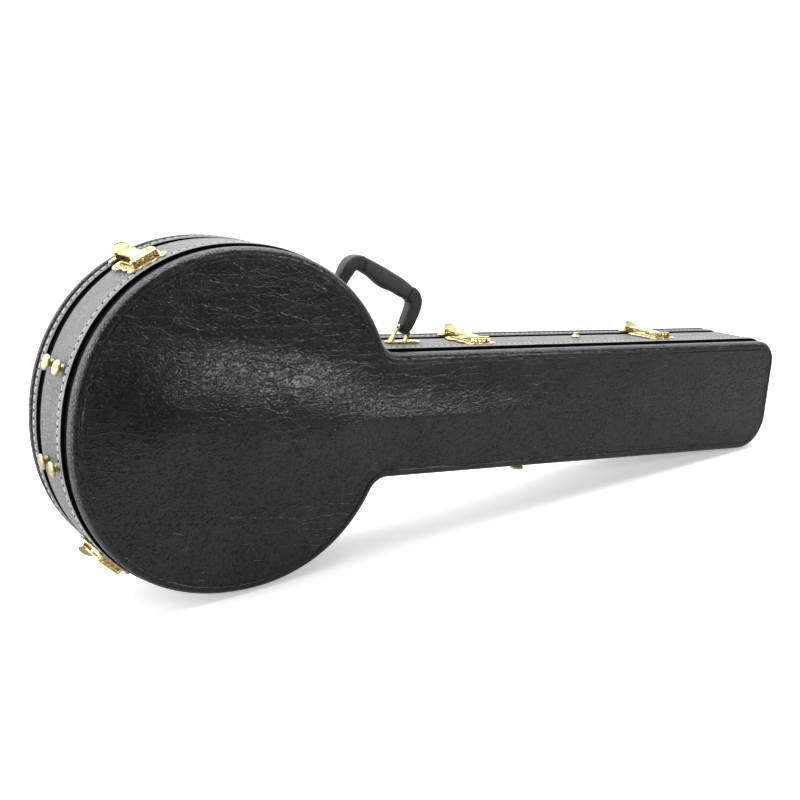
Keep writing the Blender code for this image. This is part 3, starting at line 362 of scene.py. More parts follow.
def hide_vinyl(name, base, base2, rough, long_cells, depth, spec=0.5):
    """Elephant-hide leatherette: long creases that run with the case, short cracks between them, fine grain."""
    mat, nt, bsdf = tree(name)
    n = Nodes(nt)
    pos = n.coords()
    drift = n.vmath("SUBTRACT", n.noise(pos, 38.0, 3.0, out=1), (0.5, 0.5, 0.5))
    small = n.vmath("SUBTRACT", n.noise(pos, 190.0, 2.0, out=1), (0.5, 0.5, 0.5))
    bent = n.vmath("ADD", pos, n.vmath("ADD", n.vmath("SCALE", drift, scale=0.009), n.vmath("SCALE", small, scale=0.0022)))
    stretched = n.vmath("MULTIPLY", bent, long_cells)
    crease = n.voronoi(stretched, 1.0, "DISTANCE_TO_EDGE")
    crease = n.ramp(crease, 0.0, 0.07)
    crack = n.ramp(n.voronoi(n.vmath("MULTIPLY", bent, (1.0, 1.0, 0.72)), 290.0, "DISTANCE_TO_EDGE"), 0.0, 0.22)
    tiny = n.ramp(n.voronoi(bent, 640.0, "DISTANCE_TO_EDGE"), 0.0, 0.30)
    maze = n.math("ABSOLUTE", n.math("SUBTRACT", n.noise(n.vmath("MULTIPLY", bent, (1.0, 1.0, 0.78)), 205.0, 1.0), 0.5))
    maze = n.ramp(maze, 0.0, 0.075)
    where = n.ramp(n.noise(pos, 14.0, 2.0), 0.38, 0.60, 0.20, 1.0)
    grain = n.noise(pos, 1500.0, 2.0, 0.6)
    ridge = n.math("MULTIPLY", n.math("SUBTRACT", 1.0, crease), where)
    height = n.math("ADD", n.math("MULTIPLY", ridge, 0.90), n.math("ADD", n.math("MULTIPLY", crack, 0.32), n.math("MULTIPLY", maze, 0.58)))
    height = n.math("ADD", height, n.math("ADD", n.math("MULTIPLY", tiny, 0.16), n.math("MULTIPLY", grain, 0.02)))
    nt.links.new(n.bump(height, depth, 1.0), bsdf.inputs["Normal"])
    shade = n.ramp(n.noise(pos, 22.0, 4.0), 0.35, 0.7)
    # painted shade: the colour darkens down into the maze creases, where shade falls
    low = maze
    colour = n.mix(shade, (*base, 1), (*base2, 1))
    colour = n.mix(n.ramp(low, 0.0, 0.6, 0.45, 0.0), colour, (base[0] * 0.35, base[1] * 0.35, base[2] * 0.35, 1))
    nt.links.new(colour, bsdf.inputs["Base Color"])
    nt.links.new(n.ramp(n.noise(pos, 60.0, 3.0), 0.3, 0.7, rough - 0.05, rough + 0.07), bsdf.inputs["Roughness"])
    nt.links.new(n.ramp(maze, 0.0, 0.8, spec * 0.52, spec * 1.10), bsdf.inputs["Specular IOR Level"])
    return mat


def pebble_vinyl(name, base, base2, rough, scale, depth, spec=0.5):
    """Fine pebbled leatherette of the side walls."""
    mat, nt, bsdf = tree(name)
    n = Nodes(nt)
    pos = n.coords()
    bent = n.vmath("ADD", pos, n.vmath("SCALE", n.vmath("SUBTRACT", n.noise(pos, 160.0, 2.0, out=1), (0.5, 0.5, 0.5)), scale=0.003))
    peb = n.ramp(n.voronoi(bent, scale, "DISTANCE_TO_EDGE"), 0.0, 0.42)
    mid = n.noise(pos, scale * 0.33, 3.0, 0.6)
    height = n.math("ADD", peb, n.math("MULTIPLY", mid, 0.9))
    nt.links.new(n.bump(height, depth, 1.0), bsdf.inputs["Normal"])
    colour = n.mix(n.ramp(n.noise(pos, 45.0, 4.0), 0.35, 0.7), (*base, 1), (*base2, 1))
    # painted shade: the colour darkens in the crevices between the pebbles
    colour = n.mix(n.ramp(peb, 0.0, 0.5, 0.6, 0.0), colour, (base[0] * 0.4, base[1] * 0.4, base[2] * 0.4, 1))
    nt.links.new(colour, bsdf.inputs["Base Color"])
    nt.links.new(n.ramp(n.noise(pos, 90.0, 3.0), 0.3, 0.7, rough - 0.05, rough + 0.06), bsdf.inputs["Roughness"])
    bsdf.inputs["Specular IOR Level"].default_value = spec
    return mat


def rubber(name, base, rough, spec=0.3):
    mat, nt, bsdf = tree(name)
    n = Nodes(nt)
    pos = n.coords()
    fine = n.noise(pos, 700.0, 3.0, 0.6)
    nt.links.new(n.bump(fine, 0.0001, 0.6), bsdf.inputs["Normal"])
    dusty = n.ramp(n.noise(pos, 30.0, 5.0, 0.65), 0.45, 0.75)
    nt.links.new(n.mix(dusty, (base, base, base, 1), (base * 1.8, base * 1.8, base * 1.9, 1)), bsdf.inputs["Base Color"])
    nt.links.new(n.ramp(fine, 0.3, 0.7, rough - 0.05, rough + 0.08), bsdf.inputs["Roughness"])
    bsdf.inputs["Specular IOR Level"].default_value = spec
    return mat


def thread(name, base):
    """Twisted waxed thread."""
    mat, nt, bsdf = tree(name)
    n = Nodes(nt)
    pos = n.coords()
    twist = n.put("ShaderNodeTexWave")
    twist.wave_type = "BANDS"
    twist.bands_direction = "DIAGONAL"
    n.set(twist, "Vector", pos)
    n.set(twist, "Scale", 420.0)
    n.set(twist, "Distortion", 1.5)
    nt.links.new(n.bump(twist.outputs["Fac"], 0.00015, 0.8), bsdf.inputs["Normal"])
    # painted shade and highlight: the colour follows the twist, darker in its grooves and lighter on its ridges
    nt.links.new(n.mix(twist.outputs["Fac"], (base * 0.6, base * 0.6, base * 0.62, 1), (base * 1.3, base * 1.3, base * 1.32, 1)), bsdf.inputs["Base Color"])
    bsdf.inputs["Roughness"].default_value = 0.45
    return mat


def gold(name, base, shade_and_tarnish, rough, bump=0.00006, brushed=False):
    """Plated brass: pale gold, with painted shade that darkens the colour in hollows, fine scratches and a little
    tarnish.
    """
    mat, nt, bsdf = tree(name)
    n = Nodes(nt)
    pos = n.coords()
    # painted shade: ambient occlusion darkens the colour in hollows and crevices; the same darker colour also serves
    # the tarnish patches
    ao = n.put("ShaderNodeAmbientOcclusion")
    ao.samples = 4
    ao.inputs["Distance"].default_value = 0.004
    hollow = n.ramp(ao.outputs["AO"], 0.25, 0.95)
    patch = n.ramp(n.noise(pos, 260.0, 4.0, 0.6), 0.40, 0.72)
    colour = n.mix(hollow, (*shade_and_tarnish, 1), (*base, 1))
    colour = n.mix(n.math("MULTIPLY", patch, 0.16), colour, (*shade_and_tarnish, 1))
    nt.links.new(colour, bsdf.inputs["Base Color"])
    bsdf.inputs["Metallic"].default_value = 1.0
    line = n.noise(n.coords(scale=(60, 2600, 60) if brushed else (900, 900, 900)), 1.0, 3.0, 0.6)
    nt.links.new(n.ramp(line, 0.3, 0.75, rough * 0.75, rough * 1.5), bsdf.inputs["Roughness"])
    nt.links.new(n.bump(n.math("ADD", line, n.noise(pos, 320.0, 2.0)), bump, 1.0), bsdf.inputs["Normal"])
    return mat


def steel(name, base, rough):
    mat, nt, bsdf = tree(name)
    n = Nodes(nt)
    pos = n.coords()
    line = n.noise(n.coords(scale=(3000, 200, 3000)), 1.0, 3.0, 0.6)
    nt.links.new(n.mix(n.ramp(n.noise(pos, 300.0, 3.0), 0.4, 0.7), (*base, 1), (base[0] * 0.75, base[1] * 0.72, base[2] * 0.66, 1)), bsdf.inputs["Base Color"])
    bsdf.inputs["Metallic"].default_value = 1.0
    nt.links.new(n.ramp(line, 0.3, 0.75, rough * 0.7, rough * 1.4), bsdf.inputs["Roughness"])
    nt.links.new(n.bump(line, 0.00004, 1.0), bsdf.inputs["Normal"])
    return mat


def moulded(name, base, base2, rough, scale, depth, spec=0.5):
    """Moulded plastic of the handle: pebbled on the legs, nearly smooth on the grip."""
    mat, nt, bsdf = tree(name)
    n = Nodes(nt)
    pos = n.coords()
    peb = n.ramp(n.voronoi(pos, scale, "F1"), 0.05, 0.62, 1.0, 0.0)
    fine = n.noise(pos, scale * 2.2, 3.0, 0.6)
    nt.links.new(n.bump(n.math("ADD", peb, n.math("MULTIPLY", fine, 0.4)), depth, 1.0), bsdf.inputs["Normal"])
    worn = n.ramp(n.noise(pos, 70.0, 4.0, 0.6), 0.4, 0.72)
    nt.links.new(n.mix(worn, (*base, 1), (*base2, 1)), bsdf.inputs["Base Color"])
    nt.links.new(n.ramp(fine, 0.3, 0.7, rough - 0.06, rough + 0.08), bsdf.inputs["Roughness"])
    bsdf.inputs["Specular IOR Level"].default_value = spec
    return mat


def plush(name, base, tip):
    """Short-pile plush: brushed patches, tufts, a velvety edge."""
    mat, nt, bsdf = tree(name)
    n = Nodes(nt)
    pos = n.coords()
    nap = n.noise(pos, 16.0, 4.0, 0.6)
    tuft = n.noise(pos, 850.0, 4.0, 0.7)
    clump = n.noise(pos, 210.0, 3.0, 0.6)
    height = n.math("ADD", n.math("MULTIPLY", tuft, 0.6), n.math("MULTIPLY", clump, 0.8))
    nt.links.new(n.bump(height, 0.0016, 1.0), bsdf.inputs["Normal"])
    colour = n.mix(n.ramp(nap, 0.35, 0.65), (*base, 1), (base[0] * 1.7, base[1] * 1.7, base[2] * 1.7, 1))
    colour = n.mix(n.ramp(tuft, 0.42, 0.68), colour, (*tip, 1))
    nt.links.new(colour, bsdf.inputs["Base Color"])
    bsdf.inputs["Roughness"].default_value = 0.95
    bsdf.inputs["Specular IOR Level"].default_value = 0.15
    bsdf.inputs["Sheen Weight"].default_value = 0.7
    bsdf.inputs["Sheen Roughness"].default_value = 0.35
    bsdf.inputs["Sheen Tint"].default_value = (min(1, tip[0] * 3), min(1, tip[1] * 3 + 0.05), min(1, tip[2] * 3 + 0.05), 1)
    return mat


def woven(name, base, scale=900.0):
    """Grosgrain ribbon: ribs across the band."""
    mat, nt, bsdf = tree(name)
    n = Nodes(nt)
    pos = n.coords()
    a = n.put("ShaderNodeTexWave")
    a.bands_direction = "Z"
    n.set(a, "Vector", pos)
    n.set(a, "Scale", scale)
    b = n.put("ShaderNodeTexWave")
    b.bands_direction = "Y"
    n.set(b, "Vector", pos)
    n.set(b, "Scale", scale * 0.6)
    height = n.math("ADD", a.outputs["Fac"], n.math("MULTIPLY", b.outputs["Fac"], 0.5))
    nt.links.new(n.bump(height, 0.0003, 1.0), bsdf.inputs["Normal"])
    # painted shade and highlight: the colour follows the ribs, darker in their hollows and lighter on top
    nt.links.new(n.mix(n.ramp(height, 0.3, 1.3), (base * 0.6, base * 0.6, base * 0.6, 1), (base * 1.6, base * 1.6, base * 1.7, 1)), bsdf.inputs["Base Color"])
    bsdf.inputs["Roughness"].default_value = 0.8
    bsdf.inputs["Sheen Weight"].default_value = 0.3
    return mat


M_FACE = hide_vinyl("crackle_vinyl", (0.0060, 0.0060, 0.0063), (0.0092, 0.0092, 0.0097), 0.18, (24.0, 24.0, 88.0), 0.00030, 0.40)
M_LIDFACE = hide_vinyl("crackle_vinyl_lid", (0.0060, 0.0060, 0.0063), (0.0092, 0.0092, 0.0097), 0.18, (26.0, 26.0, 84.0), 0.00030, 0.40)
# painted light: the side walls are black leatherette like the faces, given a grey base colour for the light that falls
# on them from the left and behind
M_WALL_PAINTED_LIGHT = pebble_vinyl("pebble_vinyl", (0.082, 0.082, 0.086), (0.120, 0.120, 0.125), 0.34, 300.0, 0.00120, 0.95)
M_ROLL = pebble_vinyl("rolled_edge_vinyl", (0.020, 0.020, 0.021), (0.032, 0.032, 0.034), 0.30, 330.0, 0.00060, 0.60)
# partly painted shade: real black trim, made near black and almost without shine so it also stands in for the shade in
# the grooves
M_TRIM_GROOVE_SHADE = rubber("black_trim_groove_shade", 0.0016, 0.85, 0.04)
# painted highlight: the rolled rims of the walls next to the black grooves get a lighter copy of the wall vinyl
M_RIM_HIGHLIGHT = pebble_vinyl("rim_vinyl_painted_highlight", (0.150, 0.150, 0.155), (0.185, 0.185, 0.190), 0.32, 700.0, 0.00030, 0.95)
M_THREAD = thread("waxed_thread", 0.43)
# painted shade: near-black plugs sunk in the stitch holes stand in for the shade inside them
M_HOLE_SHADE = rubber("stitch_hole_shade", 0.003, 0.9, 0.05)
M_GOLD = gold("gold_plate", (0.78, 0.65, 0.35), (0.46, 0.28, 0.05), 0.22)
# painted shade: the thumb tab gets a darker, duller copy of the plate gold, standing in for the shade it sits in
M_GOLD_TAB_SHADED = gold("gold_tab_shaded", (0.46, 0.42, 0.25), (0.34, 0.27, 0.11), 0.48)
M_GOLD_FOOT = gold("gold_stud", (0.58, 0.50, 0.30), (0.26, 0.18, 0.05), 0.34, 0.00030)
M_GOLD_HINGE = gold("gold_hinge", (0.78, 0.60, 0.29), (0.50, 0.30, 0.08), 0.28, brushed=True)
M_STEEL = steel("pin_steel", (0.72, 0.66, 0.52), 0.25)
M_PEBBLE = moulded("handle_pebble", (0.010, 0.010, 0.0105), (0.016, 0.016, 0.0165), 0.42, 620.0, 0.00045, 0.55)
M_GRIP = moulded("handle_grip", (0.024, 0.024, 0.025), (0.032, 0.032, 0.033), 0.50, 1800.0, 0.00008, 0.4)
M_PLUSH = plush("plush_lining", (0.105, 0.0050, 0.0120), (0.30, 0.022, 0.045))
M_PLUSH2 = plush("plush_pads", (0.125, 0.0060, 0.0150), (0.33, 0.026, 0.050))
M_RIBBON = woven("ribbon_black", 0.020)


# ---------------------------------------------------------------- mesh helpers
def finish_mesh(name, verts, faces, mat, sharp=40.0, case_frame=True):
    verts = np.asarray(verts, float)
    if case_frame:
        verts = verts @ CR.T + CT
    mesh = bpy.data.meshes.new(name)
    mesh.from_pydata(verts.tolist(), [], [tuple(f) for f in faces])
    bm = bmesh.new()
    bm.from_mesh(mesh)
    bmesh.ops.remove_doubles(bm, verts=bm.verts, dist=2e-6)
    bmesh.ops.recalc_face_normals(bm, faces=bm.faces)
    bm.to_mesh(mesh)
    bm.free()
    mesh.polygons.foreach_set("use_smooth", [True] * len(mesh.polygons))
    if sharp:
        mesh.set_sharp_from_angle(angle=math.radians(sharp))
    mesh.materials.append(mat)
    return mesh


def piece(name, mesh, body, replaces=()):
    obj = bpy.data.objects.new(name, mesh)
    bpy.context.scene.collection.objects.link(obj)
    if body:
        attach(obj, body)
    if replaces:
        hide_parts(*replaces)
    return obj


def grid_faces(rows, cols, close_rows=False, close_cols=False):
    r = np.arange(rows if close_rows else rows - 1)
    c = np.arange(cols if close_cols else cols - 1)
    rr, cc = np.meshgrid(r, c, indexing="ij")
    a = rr * cols + cc
    b = rr * cols + (cc + 1) % cols
    d = ((rr + 1) % rows) * cols + (cc + 1) % cols
    e = ((rr + 1) % rows) * cols + cc
    return np.stack([a, b, d, e], -1).reshape(-1, 4).tolist()


class Band:
    """Outline sampled evenly, for rings that follow it."""

    def __init__(self, step):
        self.n = int(round(LENGTH / step))
        self.s = np.arange(self.n) * LENGTH / self.n
        self.p, self.m = along(self.s)

    def ring(self, offset, y):
        q = self.p - self.m * np.reshape(offset, (-1, 1))
        return np.stack([q[:, 0], np.broadcast_to(y, self.n), q[:, 1]], 1)


def band_mesh(name, band, rows, mat, lift=None, sharp=40.0):
    """rows: closed loop of (offset, y). lift(row index, offset, y, band) raises the surface outwards."""
    rings = []
    for k, (off, y) in enumerate(rows):
        up = lift(k, off, y, band) if lift else 0.0
        rings.append(band.ring(np.full(band.n, off) - up, y))
    verts = np.concatenate(rings)
    return finish_mesh(name, verts, grid_faces(len(rows), band.n, True, True), mat, sharp)


def out_distance(pts):
    """Distance inwards from the outline, negative outside."""
    step = 4
    p, m = DP[::step], DN[::step]
    out = np.empty(len(pts))
    for i in range(0, len(pts), 3000):
        d = pts[i:i + 3000, None, :] - p[None]
        k = (d ** 2).sum(-1).argmin(1)
        e = d[np.arange(len(k)), k]
        out[i:i + 3000] = -(e * m[k]).sum(-1)
    return out


def vault(x, z, dist):
    """Rise of the vault, as in the CAD."""
    run = ARCH_TIP[0] - x
    half = np.maximum(0.112 * (1 - np.exp(-np.maximum(run, 0) / 0.27)), 1e-6)
    mid = ARCH_TIP[1] - 0.016 * np.exp(-((x - 0.22) / 0.16) ** 2)
    v = (z - mid) / half
    h = ARCH_H * np.minimum(half / 0.092, 1.0) * np.clip(1 - v * v, 0, 1) ** 1.7 * sstep(0.009, 0.105, dist)
    return np.where(run > 0, h, 0.0)


def sheet(band, offset, grid):
    """Ring points of the band at this offset, then inner points, triangulated."""
    ring = band.p - band.m * offset
    x0, x1, z0, z1 = ring[:, 0].min(), ring[:, 0].max(), ring[:, 1].min(), ring[:, 1].max()
    xs = np.arange(x0, x1, grid * 0.87)
    zs = np.arange(z0, z1, grid)
    gx, gz = np.meshgrid(xs, zs, indexing="ij")
    gz = gz + (np.arange(len(xs)) % 2)[:, None] * grid / 2
    pts = np.stack([gx.ravel(), gz.ravel()], 1)
    dist = out_distance(pts)
    keep = dist > offset + 0.62 * grid
    pts = pts[keep]
    allp = np.concatenate([ring, pts])
    res = delaunay_2d_cdt([Vector(p) for p in allp], [], [list(range(len(ring)))], 1, 1e-8)
    index = [o[0] for o in res[3]]
    return allp, [tuple(index[i] for i in f) for f in res[2]], np.concatenate([np.full(len(ring), offset), dist[keep]])


def panel_mesh(name, band, outer, inner, face_y, back_y, sign, offset, offset_in, grid, mat, relief, seed):
    """Closed vaulted shell. outer and inner are (offset, y) rows that meet at their first items."""
    rows = list(reversed(outer)) + list(inner)
    verts = np.concatenate([band.ring(np.full(band.n, o), y) for o, y in rows])
    # ripples of the rolled edge
    if relief:
        k = np.arange(len(rows))
        amp = np.array([0.00020 if (0.0026 < o < offset and i < len(outer) - 3) else 0.0 for i, (o, _) in enumerate(rows)])
        wob = vnoise(np.tile(band.s, (len(rows), 1)) / 0.011, k[:, None] * 0.55, seed + 5) - 0.5
        verts[:, 1] += (sign * amp[:, None] * wob).ravel()
    faces = grid_faces(len(rows), band.n, False, True)
    n = band.n
    # face
    pts, tris, dist = sheet(band, offset, grid)
    up = vault(pts[:, 0], pts[:, 1], dist)
    if relief:
        wx = pts[:, 0] + 0.012 * (vnoise(pts[:, 0] / 0.04, pts[:, 1] / 0.04, seed + 1) - 0.5)
        wz = pts[:, 1] + 0.010 * (vnoise(pts[:, 0] / 0.04, pts[:, 1] / 0.04, seed + 2) - 0.5)
        puff = np.minimum(cells(wx / 0.034, wz / 0.0095, seed), 0.7)
        swell = vnoise(pts[:, 0] / 0.045, pts[:, 1] / 0.045, seed + 3) - 0.5
        calm = 1 - 0.7 * sstep(0.16, 0.36, pts[:, 0])
        up = up + sstep(offset, offset + 0.012, dist) * (relief * puff * calm + 0.0005 * swell)
        up = up + 0.00045 * np.exp(-((dist - offset - 0.0016) / 0.0016) ** 2)
    y = face_y + sign * up
    start = len(verts)
    base = 0
    remap = np.where(np.arange(len(pts)) < n, base + np.arange(len(pts)), start + np.arange(len(pts)) - n)
    verts = np.concatenate([verts, np.stack([pts[n:, 0], y[n:], pts[n:, 1]], 1)])
    faces += [tuple(int(remap[i]) for i in t) for t in tris]
    # inner side, coarse
    pts, tris, dist = sheet(band, offset_in, 0.010)
    y = back_y + sign * vault(pts[:, 0], pts[:, 1], dist)
    start = len(verts)
    base = (len(rows) - 1) * n
    remap = np.where(np.arange(len(pts)) < n, base + np.arange(len(pts)), start + np.arange(len(pts)) - n)
    verts = np.concatenate([verts, np.stack([pts[n:, 0], y[n:], pts[n:, 1]], 1)])
    faces += [tuple(int(remap[i]) for i in t) for t in tris]
    return finish_mesh(name, verts, faces, mat, 50.0)


def lathe(profile, count, frame=Matrix.Identity(4)):
    verts, faces = [frame @ Vector((0, 0, profile[0][1]))], []
    inner = profile[1:-1]
    for r, z in inner:
        verts += [frame @ Vector((r * math.cos(2 * math.pi * i / count), r * math.sin(2 * math.pi * i / count), z)) for i in range(count)]
    verts.append(frame @ Vector((0, 0, profile[-1][1])))
    for i in range(count):
        j = (i + 1) % count
        faces.append((0, 1 + j, 1 + i))
        for k in range(len(inner) - 1):
            a, b = 1 + k * count, 1 + (k + 1) * count
            faces.append((a + i, a + j, b + j, b + i))
        e = 1 + (len(inner) - 1) * count
        faces.append((e + i, e + j, len(verts) - 1))
    return verts, faces


def join(parts):
    verts, faces = [], []
    for v, f in parts:
        base = len(verts)
        verts += [tuple(p) for p in v]
        faces += [tuple(i + base for i in face) for face in f]
    return verts, faces


def shift(part, frame):
    return [frame @ Vector(v) for v in part[0]], part[1]


def spline(points, per=6, closed=True):
    """Catmull-Rom through the points."""
    p = np.array(points, float)
    n = len(p)
    out = []
    last = n if closed else n - 1
    for i in range(last):
        a, b, c, d = (p[(i + k) % n] if closed else p[min(max(i + k, 0), n - 1)] for k in (-1, 0, 1, 2))
        for j in range(per):
            t = j / per
            out.append(0.5 * ((2 * b) + (c - a) * t + (2 * a - 5 * b + 4 * c - d) * t * t + (3 * b - 3 * c + d - a) * t ** 3))
    if not closed:
        out.append(p[-1])
    return np.array(out)


def inset(loop, d):
    """The loop moved inwards by d (loop anticlockwise)."""
    a = np.roll(loop, 1, 0)
    b = np.roll(loop, -1, 0)
    t = b - a
    t /= np.linalg.norm(t, axis=1, keepdims=True) + 1e-12
    return loop + np.stack([-t[:, 1], t[:, 0]], 1) * d


def ccw(loop):
    x, y = loop[:, 0], loop[:, 1]
    return loop if (x * np.roll(y, -1) - np.roll(x, -1) * y).sum() > 0 else loop[::-1].copy()


def plate(loop, steps, holes=()):
    """Solid plate from an outline. steps: (inset, z) from the underside's rim up and over to the top face."""
    loop = ccw(np.array(loop, float))
    rings = [np.concatenate([inset(loop, d), np.full((len(loop), 1), z)], 1) for d, z in steps]
    verts = np.concatenate(rings)
    n = len(loop)
    faces = [tuple(f) for f in grid_faces(len(rings), n, False, True)]
    for ring, base, turn in ((rings[0], 0, True), (rings[-1], (len(rings) - 1) * n, False)):
        tris = tessellate_polygon([[Vector((x, y, 0)) for x, y, _ in ring]])
        faces += [tuple(base + i for i in (reversed(t) if turn else t)) for t in tris]
    return [tuple(v) for v in verts], faces


def tube(path, radius, sides=8, flat=1.0):
    """Round bar along a 3-D path with closed ends; radius may vary along it."""
    p = np.array(path, float)
    n = len(p)
    rad = np.broadcast_to(radius, n)
    t = np.gradient(p, axis=0)
    t /= np.linalg.norm(t, axis=1, keepdims=True) + 1e-12
    up = np.array([0.0, 0.0, 1.0])
    verts = []
    for i in range(n):
        side = np.cross(t[i], up)
        ln = np.linalg.norm(side)
        side = side / ln if ln > 1e-6 else np.array([1.0, 0, 0])
        top = np.cross(side, t[i])
        for k in range(sides):
            a = 2 * math.pi * k / sides
            verts.append(tuple(p[i] + rad[i] * (math.cos(a) * side + flat * math.sin(a) * top)))
    faces = [tuple(f) for f in grid_faces(n, sides, False, True)]
    faces.append(tuple(reversed(range(sides))))
    faces.append(tuple((n - 1) * sides + k for k in range(sides)))
    return verts, faces


def slab(fx, fy, top, low):
    """Closed slab over a grid of x (by column and row) and y, with top and underside heights."""
    rows, cols = fy.shape
    a = np.stack([fx, fy, top], -1).reshape(-1, 3)
    b = np.stack([fx, fy, low], -1).reshape(-1, 3)
    verts = np.concatenate([a, b])
    m = rows * cols
    f = [tuple(q) for q in grid_faces(rows, cols)]
    faces = f + [tuple(i + m for i in reversed(q)) for q in f]
    edge = [(0, c) for c in range(cols)] + [(r, cols - 1) for r in range(1, rows)] + [(rows - 1, c) for c in range(cols - 2, -1, -1)] + [(r, 0) for r in range(rows - 2, 0, -1)]
    ids = [r * cols + c for r, c in edge]
    for i in range(len(ids)):
        p, q = ids[i], ids[(i + 1) % len(ids)]
        faces.append((p, q, q + m, p + m))
    return [tuple(v) for v in verts], faces


def axes(origin, x_dir, z_dir):
    z = Vector(z_dir).normalized()
    x = (Vector(x_dir) - z * Vector(x_dir).dot(z)).normalized()
    y = z.cross(x)
    m = Matrix((x, y, z)).transposed().to_4x4()
    m.translation = Vector(origin)
    return m


# ---------------------------------------------------------------- walls of the two halves
STITCH_BOX_Y, STITCH_LID_Y, PITCH = 0.0178, 0.0947, 0.0088
FINE = Band(0.00147)
STITCHES = int(round(LENGTH / PITCH))
PITCH_S = LENGTH / STITCHES


def stitch_lift(y_line, strength=1.0):
    def lift(k, off, y, band):
        dy = y - y_line
        if abs(dy) > 0.0050 or off > 0.003:
            return 0.0
        phase = (band.s / PITCH_S) % 1.0
        hole = np.exp(-((np.minimum(phase, 1 - phase) * PITCH_S) / 0.0011) ** 2)
        groove = -0.00070 * math.exp(-(dy / 0.0013) ** 2)
        puff = 0.00036 * math.exp(-((abs(dy) - 0.0026) / 0.0010) ** 2) * (1 - 0.55 * hole)
        pit = -0.0011 * hole * math.exp(-(dy / 0.0014) ** 2)
        return strength * (groove + puff + pit)
    return lift


def around(y_line):
    return [y_line + d for d in (-0.0042, -0.0033, -0.0027, -0.0021, -0.0015, -0.0010, -0.0005, 0.0, 0.0005, 0.0010, 0.0015, 0.0021, 0.0027, 0.0033)]


def box_wall_rows():
    rows = [(0.0052, 0.0098), (0.0036, 0.0090), (0.0022, 0.0089), (0.0011, 0.0093), (0.0004, 0.0101), (0.0001, 0.0113), (0.0, 0.0128)]
    rows += [(0.0, y) for y in around(STITCH_BOX_Y)]
    rows += [(0.0001, 0.0234), (0.0003, 0.0239), (0.0008, 0.0242), (0.0009, 0.0248)]
    rows += [(0.0009, y) for y in np.linspace(0.0270, 0.0715, 16)]
    rows += [(0.0009, 0.0730), (0.0011, 0.0741), (0.0016, 0.0751), (0.0025, 0.0759), (0.0037, 0.0763), (0.0050, 0.0764)]
    rows += [(0.0074, 0.0764), (0.0074, 0.0098)]
    return rows


def wall_lift(y_line):
    base = stitch_lift(y_line)
    def lift(k, off, y, band):
        up = base(k, off, y, band)
        if off < 0.0012:
            up = up + 0.00022 * (vnoise(band.s / 0.035, np.full(band.n, y / 0.02), 31) - 0.5)
        return up
    return lift


def bind(obj, y0, y1, mat):
    """Another material on the faces between two depths."""
    mesh = obj.data
    if mat.name not in [m.name for m in mesh.materials]:
        mesh.materials.append(mat)
    slot = [m.name for m in mesh.materials].index(mat.name)
    n = len(mesh.polygons)
    index = np.empty(n, dtype=int)
    mesh.polygons.foreach_get("material_index", index)
    centre = np.empty(n * 3)
    mesh.polygons.foreach_get("center", centre)
    y = centre.reshape(-1, 3)[:, 1] - CT[1]
    index[(y > y0) & (y < y1)] = slot
    mesh.polygons.foreach_set("material_index", index)
    return obj


box_wall = piece("Box_Wall", band_mesh("Box_Wall", FINE, box_wall_rows(), M_WALL_PAINTED_LIGHT, wall_lift(STITCH_BOX_Y)), "shell", ["box_wall"])
# painted highlight: the rolled rim beside the back groove gets the lighter rim vinyl
bind(box_wall, 0.0099, 0.0160, M_RIM_HIGHLIGHT)
# painted shade: the wall's faces that curl into the back groove take the black trim colour
bind(box_wall, -0.001, 0.0099, M_TRIM_GROOVE_SHADE)


def lid_wall_rows():
    rows = [(0.0050, 0.0886), (0.0037, 0.0887), (0.0025, 0.0891), (0.0014, 0.0898), (0.0006, 0.0907)]
    rows += [(0.0003, y) for y in around(STITCH_LID_Y) if y < 0.0981 and y > 0.0909]
    rows += [(0.0003, 0.0984), (0.0006, 0.0993), (0.0013, 0.1000), (0.0024, 0.1005), (0.0040, 0.1007)]
    rows += [(0.0074, 0.1007), (0.0074, 0.0886)]
    return rows


lid_wall = piece("Lid_Wall", band_mesh("Lid_Wall", FINE, lid_wall_rows(), M_WALL_PAINTED_LIGHT, wall_lift(STITCH_LID_Y)), "lid", ["lid_wall"])
# painted highlight: the rolled rim beside the seam gets the lighter rim vinyl
bind(lid_wall, 0.0900, 0.0915, M_RIM_HIGHLIGHT)
# painted shade: the wall's faces that curl into the seam take the black trim colour
bind(lid_wall, 0.0, 0.0900, M_TRIM_GROOVE_SHADE)
# painted highlight: the rolled rim beside the lid groove gets the lighter rim vinyl
bind(lid_wall, 0.0975, 0.2, M_RIM_HIGHLIGHT)

# black trim channels between the vinyl rims, near black and without shine so they also carry the painted shade of the
# grooves, hollowed where the hinges sit
MEDIUM = Band(0.0030)
WORLD_X = MEDIUM.p[:, 0] * CR[0, 0] + MEDIUM.p[:, 1] * CR[0, 2] + CT[0]
WORLD_Z = MEDIUM.p[:, 0] * CR[2, 0] + MEDIUM.p[:, 1] * CR[2, 2] + CT[2]
NOTCH = np.zeros(MEDIUM.n)
for node in ("hinge_box_leaf_1", "hinge_box_leaf_2"):
    a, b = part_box(node)
    NOTCH = np.maximum(NOTCH, ((WORLD_X > a.x - 0.004) & (WORLD_X < b.x + 0.004) & (WORLD_Z < 0.02)).astype(float))
NOTCH = np.maximum(NOTCH, 0)


def channel(name, rows, body, notch=False, replaces=(), mat=M_TRIM_GROOVE_SHADE):
    def lift(k, off, y, band):
        return -NOTCH * (0.0016 if off < 0.006 else 0.0) if notch else 0.0
    return piece(name, band_mesh(name, MEDIUM, rows, mat, lift), body, replaces)


